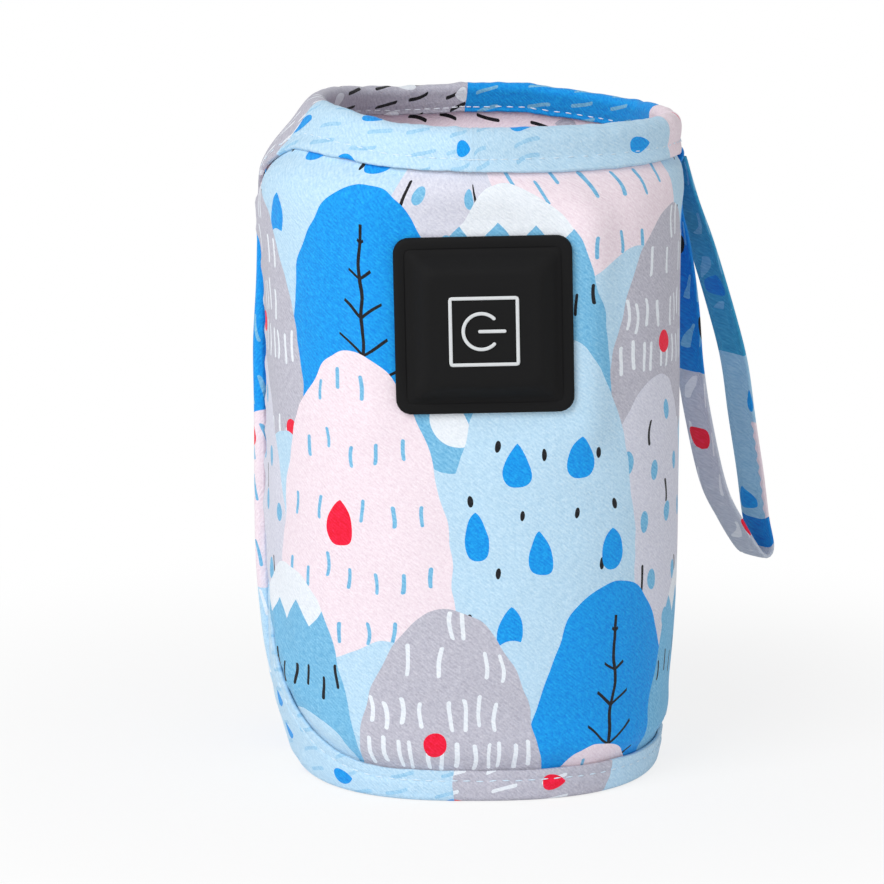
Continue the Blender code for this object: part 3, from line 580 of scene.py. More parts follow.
BACK_HILLS = (
    Hill(0.057, 0.024, 0.07, 2.1, Dye.PINK, (
        Motif(Mark.STROKE, Dye.SKY, (0.0009, 0.005), (0.006, 0.014), limit=0.9),
        Motif(Mark.DROP, Dye.RED, (0.007, 0.0105), (0.026, 0.03), (0.0, 0.01)),
    )),
    Hill(0.101, 0.023, 0.076, 2.3, Dye.PALE, (
        Motif(Mark.DROP, Dye.BRIGHT, (0.006, 0.0098), (0.015, 0.019)),
        Motif(
            Mark.SEED, Dye.BLACK, (0.0012, 0.0026), (0.011, 0.013), (0.0056, 0.009), limit=0.85,
            clear=True,
        ),
    )),
    Hill(0.015, 0.023, 0.064, 2.0, Dye.MIST, (
        Motif(Mark.SEED, Dye.SKY, (0.003, 0.0046), (0.01, 0.0125), limit=0.85),
        Motif(Mark.STROKE, Dye.BLACK, (0.0008, 0.006), (0.015, 0.017), (0.003, 0.006), limit=0.85),
    )),
)


@dataclass(frozen=True)
class HillPrint(Twill):
    """All-over print of rounded hills in two staggered rows, with pen strokes, drops and seeds."""

    repeat: float = 0.116
    row_repeat: float = 0.088
    bases: Pair = (-0.014, 0.03)
    rows: tuple[tuple[Hill, ...], ...] = (FRONT_HILLS, BACK_HILLS)
    meadow: float = 0.0475
    meadow_wave: float = 0.003
    meadow_waves: float = 4.0
    shake: float = 0.003
    shake_scale: float = 90.0
    twig_top: float = 0.008
    twig_pitch: float = 0.0085
    twig_half: float = 0.0004
    twig_slope: float = 0.8
    twig_spread: float = 0.24
    cap_share: float = 0.8
    cap_pitch: float = 0.009
    cap_slope: float = 1.1

    def colour(self, graph: Graph, u: Socket, v: Socket) -> Colour:
        """Colour of the print: hills with a lower foot stand in front of those with a higher one.

        Args:
            graph: Takes the nodes.
            u: Cloth coordinate along the rows of hills.
            v: Cloth coordinate across them.

        Returns:
            The colour.
        """
        shake = graph.node("ShaderNodeTexNoise", sockets={
            "Vector": graph.vector(u, v), "Scale": self.shake_scale, "Detail": 1.0,
        }, output="Color")
        aside = graph.node("ShaderNodeSeparateColor", sockets={0: shake})
        x = u + (aside - 0.5) * self.shake
        y = v + (aside.beside(1) - 0.5) * self.shake
        layers = [self.row(graph, x, y, base, hills) for base, hills in zip(self.bases, self.rows)]
        (front, front_mask, front_up), (back, back_mask, back_up) = layers
        colour = graph.mix(back_mask, Dye.PALE.rgba, back)
        hidden = back_mask & (back_up > front_up)
        return graph.mix(front_mask & ~hidden, colour, front)

    def row(
        self, graph: Graph, u: Socket, v: Socket, base: float, hills: Sequence[Hill],
    ) -> tuple[Socket, Socket, Socket]:
        """Paint one row of hills and the meadow between them, which hides the feet of the row behind.

        Args:
            graph: Takes the nodes.
            u: Cloth coordinate along the row.
            v: Cloth coordinate across the row.
            base: Where the row's foot lies.
            hills: Hills from the foremost to the one furthest back.

        Returns:
            The row's colour, the mask of what it covers, and the height above its foot.
        """
        turn = graph.math("FLOOR", (v - base) / self.row_repeat)
        up = v - base - turn * self.row_repeat
        along = u - turn * (self.repeat / 2)
        colour: Colour = Dye.PALE.rgba
        wave = graph.math("SINE", along * (math.tau * self.meadow_waves / self.repeat))
        covered = up < wave * self.meadow_wave + self.meadow
        for hill in reversed(hills):
            across = graph.wrap(along - hill.centre, self.repeat)
            swell = (abs(across) / hill.half) ** hill.power + (up / hill.rise) ** hill.power
            mask = swell < 1.0
            colour = graph.mix(mask, colour, self.hill(graph, hill, across, up))
            covered = covered | mask
        return colour, covered, up

    def hill(self, graph: Graph, hill: Hill, x: Socket, y: Socket) -> Colour:
        """Colour of one hill with what is drawn on it.

        Args:
            graph: Takes the nodes.
            hill: The hill.
            x: Distance across from its middle.
            y: Height above its foot.

        Returns:
            The hill's colour.
        """
        colour: Colour = hill.dye.rgba
        if hill.dressing is Dressing.TWIGS:
            colour = graph.mix(self.twigs(graph, hill, x, y), colour, Dye.BLACK.rgba)
        if hill.dressing is Dressing.SNOW:
            zigzag = abs(graph.wrap(x, self.cap_pitch)) * self.cap_slope
            colour = graph.mix(y > zigzag + hill.rise * self.cap_share, colour, Dye.WHITE.rgba)
        before: Socket | None = None
        for motif in hill.motifs:
            leaning = x + y * motif.lean if motif.lean else x
            start = graph.moved(leaning, motif.shift[0])
            cell = self.cells(graph, start, graph.moved(y, motif.shift[1]), motif.cell)
            free = self.free(graph, hill, motif, cell, x, y)
            if motif.clear:
                free = free & ~before
            before = self.mark(graph, motif.shape, cell, motif.size)
            colour = graph.mix(before & free, colour, motif.dye.rgba)
        return colour

    def twigs(self, graph: Graph, hill: Hill, x: Socket, y: Socket) -> Socket:
        """Draw a bare stem with twigs on both sides, shorter towards its top.

        Args:
            graph: Takes the nodes.
            hill: The hill.
            x: Distance across from its middle.
            y: Height above its foot.

        Returns:
            Mask of the stem and its twigs.
        """
        top = hill.rise - self.twig_top
        twig = graph.near(graph.wrap(y - abs(x) * self.twig_slope, self.twig_pitch), 0.0, self.twig_half)
        inside = abs(x) < (top - y) * self.twig_spread
        stem = graph.near(x, 0.0, self.twig_half) & (y < top)
        return (twig & inside) | stem

    @staticmethod
    def free(graph: Graph, hill: Hill, motif: Motif, cell: Cell, x: Socket, y: Socket) -> Socket:
        """Find the cells whose mark may be drawn, so that a hill's edge cuts few marks.

        Args:
            graph: Takes the nodes.
            hill: The hill.
            motif: The mark.
            cell: Place from the middle of the cell's mark.
            x: Distance across from the hill's middle.
            y: Height above its foot.

        Returns:
            Mask of those cells.
        """
        masks = []
        height = y - cell.up
        if motif.belt:
            middle, half = motif.belt
            if motif.belt_repeat:
                masks.append(graph.near(graph.wrap(height - middle, motif.belt_repeat), 0.0, half))
            else:
                masks.append(graph.near(height, middle, half))
        if motif.limit:
            aside = (abs(x - cell.across) / hill.half) ** hill.power
            masks.append(aside + (height / hill.rise) ** hill.power < motif.limit)
        return masks[0] & masks[1] if len(masks) > 1 else masks[0]


@dataclass(frozen=True)
class Block:
    """Stretch of a printed tape: where it starts, its dye and the dyes of its dashes, drops and edge."""

    start: float
    dye: Dye
    dash: Dye
    drop: Dye
    edge: Dye | None = None


@dataclass(frozen=True)
class TapePrint(Twill):
    """Tape cut from the print, so that its colour changes along it."""

    blocks: tuple[Block, ...] = ()
    shake: float = 0.008
    shake_scale: float = 70.0
    dash: Pair = (0.0009, 0.0062)
    dash_cell: Pair = (0.0042, 0.0125)
    dash_lean: float = 0.25
    dash_patch: Pair = (0.034, 0.2)
    dash_chance: float = 0.45
    drop: Pair = (0.0036, 0.0056)
    drop_cell: Pair = (0.0095, 0.026)
    drop_shift: float = 0.005
    drop_chance: float = 0.55
    fold: float = 0.0104
    edge_half: float = 0.0027
    edge_wave: float = 0.0005
    edge_pitch: float = 0.0031

    def colour(self, graph: Graph, u: Socket, v: Socket) -> Colour:
        """Colour of each stretch with its dashes and drops.

        Args:
            graph: Takes the nodes.
            u: Length along the tape.
            v: Length across it.

        Returns:
            The colour.
        """
        shake = graph.grain(self.shake_scale, graph.vector(u, v), 1.0)
        place = u + (shake - 0.5) * self.shake
        first = self.blocks[0]
        ground: Colour = first.dye.rgba
        dash: Colour = first.dash.rgba
        drop: Colour = first.drop.rgba
        for block in self.blocks[1:]:
            past = place > block.start
            dye: Colour = block.dye.rgba
            if block.edge:
                dye = graph.mix(self.selvedge(graph, u, v), dye, block.edge.rgba)
            ground = graph.mix(past, ground, dye)
            dash = graph.mix(past, dash, block.dash.rgba)
            drop = graph.mix(past, drop, block.drop.rgba)
        cell = self.cells(graph, v - u * self.dash_lean, u, self.dash_cell)
        patch = self.cells(graph, u, v, self.dash_patch)
        dashes = self.mark(graph, Mark.STROKE, cell, self.dash) & (patch.chance > self.dash_chance)
        ground = graph.mix(dashes, ground, dash)
        leaf = self.cells(graph, v, u - self.drop_shift, self.drop_cell)
        drops = self.mark(graph, Mark.DROP, leaf, self.drop) & (leaf.chance > self.drop_chance)
        return graph.mix(drops, ground, drop)

    def selvedge(self, graph: Graph, u: Socket, v: Socket) -> Socket:
        """Mask of a strip with a wavy border that is folded round the tape's edge."""
        wave = graph.math("SINE", u * (math.tau / self.edge_pitch)) * self.edge_wave
        return graph.near(v + wave, self.fold, self.edge_half)


@dataclass(frozen=True)
class Foam(Finish):
    """Open-cell padding."""

    tint: Rgba = (0.86, 0.86, 0.83, 1.0)
    pores: float = 1400.0
    shade: Pair = (0.35, 0.75)
    rough: Pair = (0.1, 0.85)
    relief: float = 0.0003

    def paint(self, graph: Graph) -> None:
        """Spread fine pores over a pale ground.

        Args:
            graph: Takes the nodes.
        """
        pores = graph.node("ShaderNodeTexVoronoi", sockets={
            "Vector": graph.node("ShaderNodeTexCoord", output="Object"), "Scale": self.pores,
        })
        shade = pores.run(*self.shade)
        graph.set(Base_Color=graph.shaded(self.tint, shade), Roughness=pores.run(*self.rough))
        graph.bump(pores, self.relief)


@dataclass(frozen=True)
class Moulded(Finish):
    """Moulded rubber or plastic with a fine eroded grain."""

    tint: Triple
    roughness: float
    specular: float = 0.4
    grain: float = 2600.0
    patch: float = 120.0
    shade: Triple = (0.2, 0.12, 0.84)
    gloss: Triple = (0.12, 0.06, -0.09)
    relief: float = 0.00002
    relief_strength: float = 0.6

    def paint(self, graph: Graph) -> None:
        """Vary gloss and colour over a fine grain.

        Args:
            graph: Takes the nodes.
        """
        speck = graph.grain(self.grain)
        patch = graph.grain(self.patch)
        shade = patch * self.shade[0] + speck.run(*self.shade[1:])
        gloss = patch * self.gloss[0] + speck.run(*self.gloss[1:])
        graph.set(
            Base_Color=graph.shaded((*self.tint, 1.0), shade), Roughness=gloss + self.roughness,
            Specular_IOR_Level=self.specular,
        )
        graph.bump(speck, self.relief, self.relief_strength)


@dataclass(frozen=True)
class Speckled(Finish):
    """Ink, metal or thread: one fine grain runs through its colour, its gloss and any relief."""

    tint: Rgba
    grain: float
    shade: Pair
    rough: Pair
    detail: float = 2.0
    metallic: float = 0.0
    specular: float = 0.5
    sheen: float = 0.0
    relief: float = 0.0

    def paint(self, graph: Graph) -> None:
        """Break up colour and gloss, and raise the grain where there is a relief.

        Args:
            graph: Takes the nodes.
        """
        speck = graph.grain(self.grain, detail=self.detail)
        graph.set(
            Base_Color=graph.shaded(self.tint, speck.run(*self.shade)), Roughness=speck.run(*self.rough),
            Metallic=self.metallic, Specular_IOR_Level=self.specular, Sheen_Weight=self.sheen,
        )
        if self.relief:
            graph.bump(speck, self.relief)


@dataclass(frozen=True)
class Laminate(Finish):
    """Circuit board under green resist, with copper runs showing through."""

    resist: Rgba = (0.02, 0.17, 0.07, 1.0)
    copper: Rgba = (0.06, 0.3, 0.13, 1.0)
    scale: float = 260.0
    run_width: float = 0.06
    rough: Pair = (0.15, 0.32)
    relief: float = 0.00003

    def paint(self, graph: Graph) -> None:
        """Lay lighter runs on a darker resist.

        Args:
            graph: Takes the nodes.
        """
        runs = graph.node("ShaderNodeTexBrick", sockets={
            "Vector": graph.node("ShaderNodeTexCoord", output="Object"), "Scale": self.scale,
            "Mortar Size": self.run_width,
        }, output="Fac")
        graph.set(Base_Color=graph.mix(runs, self.resist, self.copper), Roughness=runs.run(*self.rough))
        graph.bump(runs, self.relief)


PRINT = HillPrint("printed_twill")
LINING_CLOTH = TapePrint("lining_twill", blocks=(
    Block(0.0, Dye.PINK, Dye.SKY, Dye.RED), Block(0.185, Dye.PINK, Dye.BLACK, Dye.GREY),
))
MOUTH_TAPE = TapePrint("mouth_tape", blocks=(
    Block(0.0, Dye.GREY, Dye.WHITE, Dye.WHITE), Block(0.017, Dye.PALE, Dye.HAZE, Dye.BRIGHT),
    Block(0.131, Dye.PINK, Dye.PALE, Dye.RED), Block(0.166, Dye.BRIGHT, Dye.SKY, Dye.BLACK),
    Block(0.226, Dye.GREY, Dye.BLACK, Dye.WHITE),
))
BASE_TAPE = TapePrint("base_tape", blocks=(
    Block(0.0, Dye.PALE, Dye.HAZE, Dye.BRIGHT), Block(0.07, Dye.GREY, Dye.WHITE, Dye.RED),
    Block(0.108, Dye.PALE, Dye.HAZE, Dye.BRIGHT), Block(0.2, Dye.BRIGHT, Dye.SKY, Dye.BLACK),
))
SIDE_TAPE = TapePrint("side_tape", blocks=(
    Block(0.0, Dye.PALE, Dye.WHITE, Dye.BRIGHT), Block(0.034, Dye.PINK, Dye.SKY, Dye.RED),
    Block(0.076, Dye.BRIGHT, Dye.SKY, Dye.BLACK), Block(0.118, Dye.GREY, Dye.WHITE, Dye.RED),
))
# The loop's darker blue stretches and drops are painted shade: the print's bright blue darkened as if in the
# sleeve's shadow.
LOOP_TAPE = TapePrint("loop_tape", blocks=(
    Block(0.0, Dye.PAINTED_SHADE_BLUE, Dye.SKY, Dye.BLACK), Block(0.052, Dye.ASH, Dye.WHITE, Dye.RED),
    Block(0.108, Dye.PAINTED_SHADE_BLUE, Dye.SKY, Dye.BLACK), Block(0.117, Dye.HAZE, Dye.SKY, Dye.BRIGHT, Dye.PINK),
    Block(0.14, Dye.HAZE, Dye.SKY, Dye.BRIGHT), Block(0.158, Dye.TEAL, Dye.SKY, Dye.PAINTED_SHADE_BLUE),
))
BASE_TWILL = Twill("base_twill", Dye.SKY)
PADDING = Foam("padding_foam")
SILICONE = Moulded("matte_silicone", (0.0078, 0.0078, 0.0082), 0.74, 0.12)
BLACK_PLASTIC = Moulded("black_plastic", (0.02, 0.02, 0.02), 0.45)
MARK_INK = Speckled("mark_ink", Dye.INK.rgba, 1800.0, (0.1, 0.95), (0.12, 0.45), specular=0.3)
WHITE_THREAD = Speckled(
    "white_thread", Dye.WHITE.rgba, 3200.0, (0.16, 0.93), (0.2, 0.5), 1.0, sheen=0.2, relief=0.00008,
)
PALE_THREAD = replace(WHITE_THREAD, name="pale_thread", tint=Dye.FROST.rgba)
STEEL = Speckled("plated_steel", (0.62, 0.62, 0.64, 1.0), 900.0, (0.16, 0.92), (0.2, 0.18), metallic=1.0)
WHITE_SLEEVING = Moulded("white_sleeving", (0.78, 0.78, 0.76), 0.42)
NODE_FINISHES: dict[str, Finish] = {
    "heating_film": Moulded("amber_film", (0.6, 0.3, 0.05), 0.3, 0.5, 700.0),
    "heating_trace": replace(STEEL, name="etched_copper", tint=(0.8, 0.43, 0.26, 1.0), rough=(0.2, 0.24)),
    "switch_housing": BLACK_PLASTIC,
    "tact_switch": BLACK_PLASTIC,
    "switch_plunger": Moulded("pale_plastic", (0.6, 0.62, 0.64), 0.4),
    "circuit_board": Laminate("green_laminate"),
    "indicator_led": Moulded("milky_lens", (0.85, 0.76, 0.62), 0.18, 0.5, 900.0),
    "board_screw": STEEL,
    "temperature_sensor": STEEL,
    "heater_lead_a": Moulded("red_sleeving", (0.5, 0.03, 0.03), 0.42),
    "heater_lead_b": WHITE_SLEEVING,
    "thermal_cutout": WHITE_SLEEVING,
    "supply_lead": BLACK_PLASTIC,
}


# Shapes


@dataclass(frozen=True)
class Outline:
    """Standing shape of the sleeve that every cloth piece follows."""

    height: float = 0.15
    left: float = 0.046
    right: float = 0.0474
    depth: float = 0.0445
    squareness: float = 2.5
    mouth_squareness: tuple[Pair, ...] = ((1.94, 1.5), (2.0, 2.34))
    mouth_round: Pair = (0.128, 0.146)
    corner_power: float = 2.2
    mouth_rise: float = 0.02
    mouth_draw: Pair = (0.0006, 0.0035)
    seam_draw: float = 0.0103
    seam_draw_from: Pair = (0.1335, 0.1517)
    shoulder: Swell = Swell(0.0015, 0.127, 0.015)
    shoulder_depth: float = 0.005
    base_rise: Triple = (0.03, 0.06, 0.03)
    base_draw: Triple = (0.0068, 0.0042, 0.0003)
    rim_slant: float = 0.0344
    corner_lift: float = 0.00137
    corner_run: Pair = (0.014, 0.034)
    back_lift: Swell = Swell(0.0015, 0.01, 0.018)
    back_drop: float = 0.0006
    back_run: float = 0.03
    girth_level: float = 0.062
    girth_steps: int = 720
    mouth_band: float = 0.009
    base_band: float = 0.0072
    mouth_turn: Triple = (0.0233, 0.012, 1.3)
    base_turn: Triple = (0.055, 0.05, 2.4)
    climb_rise: float = 0.01
    slope_step: float = 0.0005
    pinch: float = 0.0009
    pinch_run: float = 0.0035
    pad_x: float = 0.0027
    pad_z: float = 0.1075
    pad_roll: float = math.radians(-1.2)
    seat_half: float = 0.02045
    seat_press: float = 0.0013
    seat_blend: float = 0.012

    def reach(self, full: float, mouth_draw: float, side: int, z: float) -> float:
        """Half size at height z, drawn in towards the mouth and the base.

        Args:
            full: Half size between them.
            mouth_draw: How far the mouth is drawn in.
            side: Which base draw to use: 0 for the seam, 1 for the loop, 2 for front and back.
            z: Height.

        Returns:
            The half size.
        """
        up = clamp((z - (self.height - self.mouth_rise)) / self.mouth_rise)
        down = clamp((self.base_rise[side] - z) / self.base_rise[side])
        drawn = mouth_draw * up ** self.corner_power + self.base_draw[side] * down ** self.corner_power
        return full - drawn

    def left_half(self, z: float, inset: float = 0.0) -> float:
        """Distance from the axis to the side seam at height z, with a soft shoulder on the outer layers."""
        swell = self.shoulder.at(z) * clamp(1.0 - inset / self.shoulder_depth)
        return self.reach(self.left, 0.0, 0, z) + swell - self.seam_draw * ease(z, *self.seam_draw_from)

    def right_half(self, z: float) -> float:
        """Distance from the axis to the loop's side at height z."""
        return self.reach(self.right, self.mouth_draw[0], 1, z)

    def depth_half(self, z: float) -> float:
        """Distance from the axis to the front and back at height z."""
        return self.reach(self.depth, self.mouth_draw[1], 2, z)

    def near_mouth(self, z: float) -> float:
        """How far up the mouth's soft rounding a height lies, from 0 to 1."""
        return ease(z, *self.mouth_round)

    def squareness_at(self, angle: float, z: float) -> float:
        """Power of the rounded corner in one quarter at height z, 2 being a plain ellipse."""
        mouth = self.mouth_squareness[int(math.sin(angle) >= 0.0)][int(math.cos(angle) >= 0.0)]
        return between(self.squareness, mouth, self.near_mouth(z))

    @cached_property
    def seat_angles(self) -> Pair:
        """Angles of the flat seat's edges behind the pad.

        Returns:
            The angles of its left and right edge.
        """
        found = []
        for side in (-1.0, 1.0):
            x = self.pad_x + side * self.seat_half
            half = self.right if x >= 0.0 else self.left
            found.append(math.tau - math.acos(signed_power(x / half, self.squareness / 2.0)))
        return found[0], found[1]

    def seat_share(self, angle: float, z: float) -> float:
        """How fully the front is pressed flat behind the pad.

        Args:
            angle: Angle from +X towards +Y.
            z: Height.

        Returns:
            1 on the seat, 0 away from it.
        """
        around = angle % math.tau
        side = self.depth * max(self.seat_angles[0] - around, around - self.seat_angles[1], 0.0)
        above = max(abs(z - self.pad_z) - self.seat_half, 0.0)
        return 1.0 - smooth(math.hypot(side, above) / self.seat_blend)

    def lift(self, x: float, y: float, z: float) -> float:
        """Rise of the slanted rim, with its raised seam corner and back, fading towards the base.

        Args:
            x: Place towards the loop.
            y: Place towards the back.
            z: Height before the rise.

        Returns:
            The rise.
        """
        corner = self.corner_lift * ease(-x, *self.corner_run)
        back = (self.back_lift.at(x) - self.back_drop) * smooth(y / self.back_run)
        return (corner + back) * self.near_mouth(z) - self.rim_slant * x * (z / self.height) ** 2

    def point(self, angle: float, z: float, inset: float) -> Vector:
        """Point on the wall.

        Args:
            angle: Angle from +X towards +Y.
            z: Height before the rim's slant.
            inset: Distance inside the outline.

        Returns:
            The point.
        """
        exponent = 2.0 / self.squareness_at(angle, z)
        half = self.right_half(z) if math.cos(angle) >= 0.0 else self.left_half(z, inset)
        x = (half - inset) * signed_power(math.cos(angle), exponent)
        y = (self.depth_half(z) - inset) * signed_power(math.sin(angle), exponent)
        if y < 0.0:
            y += (inset - (self.depth - self.seat_press) - y) * self.seat_share(angle, z)
        return Vector((x, y, z + self.lift(x, y, z)))

    @cached_property
    def walk(self) -> tuple[np.ndarray, np.ndarray]:
        """Walk round the wall from the side seam by the front.

        Returns:
            The length walked at each step, and the angles there.
        """
        angles = np.linspace(math.pi, 3.0 * math.pi, self.girth_steps + 1)
        flat = [self.point(angle, self.girth_level, 0.0) for angle in angles]
        steps = [(after - before).length for before, after in zip(flat, flat[1:])]
        return np.concatenate(([0.0], np.cumsum(steps))), angles

    @property
    def girth(self) -> float:
        """Length once round the wall."""
        return float(self.walk[0][-1])

    def angle_at(self, share: float) -> float:
        """Angle at a share of the way round, from the side seam by the front."""
        return float(np.interp(share * self.girth, *self.walk))

    def from_seam(self, along: float) -> float:
        """Distance to the side seam, the nearer way round."""
        held = along % self.girth
        return min(held, self.girth - held)

    def mouth_edge(self, along: float) -> float:
        """Height of the mouth binding's lower edge, which sinks towards the side seam."""
        run, drop, power = self.mouth_turn
        return self.height - self.mouth_band - drop * clamp(1.0 - self.from_seam(along) / run) ** power

    def base_edge(self, along: float) -> float:
        """Height of the base binding's upper edge, which climbs towards the side seam."""
        run, rise, power = self.base_turn
        return self.base_band + rise * clamp(1.0 - self.from_seam(along) / run) ** power

    def climb(self, along: float) -> float:
        """How fully the base binding has left its level run for its climb, from 0 to 1."""
        return smooth((self.base_edge(along) - self.base_band) / self.climb_rise)

    def slope(self, edge: Callable[[float], float], along: float) -> float:
        """How much longer an edge is than its run round the wall."""
        step = self.slope_step
        return math.hypot(1.0, (edge(along + step) - edge(along - step)) / (2.0 * step))

    def below_mouth(self, along: float, z: float) -> float:
        """Distance from the mouth binding's lower edge, squarely away from it."""
        return (self.mouth_edge(along) - z) / self.slope(self.mouth_edge, along)

    def above_base(self, along: float, z: float) -> float:
        """Distance from the base binding's upper edge, squarely away from it."""
        return (z - self.base_edge(along)) / self.slope(self.base_edge, along)

    def tuck(self, along: float, z: float) -> float:
        """Inset of the cover, drawn in under the mouth and base bindings."""
        free = min(self.above_base(along, z), self.below_mouth(along, z))
        return self.pinch * (1.0 - smooth(free / self.pinch_run))


OUTLINE = Outline()


class Body(Enum):
    """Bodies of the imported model."""

    SLEEVE = "sleeve"
    BUTTON = "button"
    LOOP = "strap"


def laid_cloth(
    columns: int, rows: int, place: Callable[[float, float], Vector],
    cut: Callable[[float, float], Pair],
) -> BMesh:
    """Lay a flat grid of cloth out on a surface and close it where its edges meet.

    Args:
        columns: Faces along the first share.
        rows: Faces along the second share.
        place: Point of the surface at two shares from 0 to 1.
        cut: Cloth coordinates there, in metres.

    Returns:
        The laid cloth, with its cloth coordinates as a UV map.
    """
    shape = bmesh.new()
    bmesh.ops.create_grid(shape, x_segments=columns, y_segments=rows, size=0.5)
    layer = shape.loops.layers.uv.new(CLOTH_MAP)
    for face in shape.faces:
        for loop in face.loops:
            loop[layer].uv = cut(loop.vert.co.x + 0.5, loop.vert.co.y + 0.5)
    for vertex in shape.verts:
        vertex.co = place(vertex.co.x + 0.5, vertex.co.y + 0.5)
    bmesh.ops.remove_doubles(shape, verts=shape.verts, dist=MERGE_GAP)
    return shape


def open_window(shape: BMesh, half: float) -> None:
    """Cut a square window through the front of a wall piece behind the pad.

    Args:
        shape: The wall piece.
        half: Half width of the window.
    """
    centre = Vector((OUTLINE.pad_x, 0.0, OUTLINE.pad_z))
    turn = Matrix.Rotation(OUTLINE.pad_roll, 3, "Y")
    sides = [turn @ Vector(side) for side in ((1, 0, 0), (-1, 0, 0), (0, 0, 1), (0, 0, -1))]

    def within(face: BMFace, reach: float) -> bool:
        """Whether a face is on the front, with its middle within a reach of the window's middle."""
        middle = face.calc_center_median()
        return middle.y < 0.0 and max((middle - centre).dot(side) for side in sides) < reach

    for side in sides:
        near = [face for face in shape.faces if within(face, WINDOW_SEARCH * half)]
        parts = [*near, *(e for f in near for e in f.edges), *(v for f in near for v in f.verts)]
        bmesh.ops.bisect_plane(
            shape, geom=list(dict.fromkeys(parts)), dist=CUT_GAP, plane_co=centre + side * half,
            plane_no=side,
        )
    cut_out = [face for face in shape.faces if within(face, half)]
    bmesh.ops.delete(shape, geom=cut_out, context="FACES")


def round_edges(shape: BMesh, over: float, offset: float) -> None:
    """Round the crisp edges of a shape.

    Args:
        shape: The shape.
        over: Angle in degrees above which an edge counts as crisp.
        offset: Width of the rounding on each side of an edge.
    """
    crisp = [edge for edge in shape.edges if edge.calc_face_angle(0.0) > math.radians(over)]
    bmesh.ops.bevel(
        shape, geom=crisp, offset=offset, offset_type="OFFSET", segments=2, profile=0.5,
        affect="EDGES", material=-1,
    )


def add_object(name: str, data: bpy.types.ID) -> bpy.types.Object:
    """Put a mesh, lamp or camera into the scene.

    Args:
        name: Name of the object.
        data: The mesh, lamp or camera.

    Returns:
        The object.
    """
    made = bpy.data.objects.new(name, data)
    bpy.context.collection.objects.link(made)
    return made


def make_piece(
    name: str, shape: BMesh, finish: Finish, slot: str, replaces: Sequence[str] = (),
    body: Body | None = Body.SLEEVE, thickness: float = 0.0, offset: float = -1.0,
    sharp: float | None = None,
) -> bpy.types.Object:
    """Turn a finished shape into a piece of the model.

    Args:
        name: Name of the piece.
        shape: Its mesh, which is freed.
        finish: Its finish.
        slot: The record's material slot; not used.
        replaces: CAD nodes that it stands for.
        body: Body that it rides on, or None.
        thickness: Thickness of cloth that the shape is the face of, or 0.
        offset: Side on which the thickness lies, -1 being behind the face.
        sharp: Angle in degrees above which edges stay sharp, or None.

    Returns:
        The piece.
    """
    mesh = bpy.data.meshes.new(name)
    shape.to_mesh(mesh)
    shape.free()
    mesh.shade_smooth()
    if sharp is not None:
        mesh.set_sharp_from_angle(angle=math.radians(sharp))
    mesh.materials.append(finish.material())
    piece = add_object(name, mesh)
    if thickness:
        wall = piece.modifiers.new("thickness", "SOLIDIFY")
        wall.thickness = thickness
        wall.offset = offset
        wall.use_even_offset = True
    if body:
        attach(piece, body.value)
    if replaces:
        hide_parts(*replaces)
    log.info("%s: %d faces, %s", name, len(mesh.polygons), finish.name)
    return piece


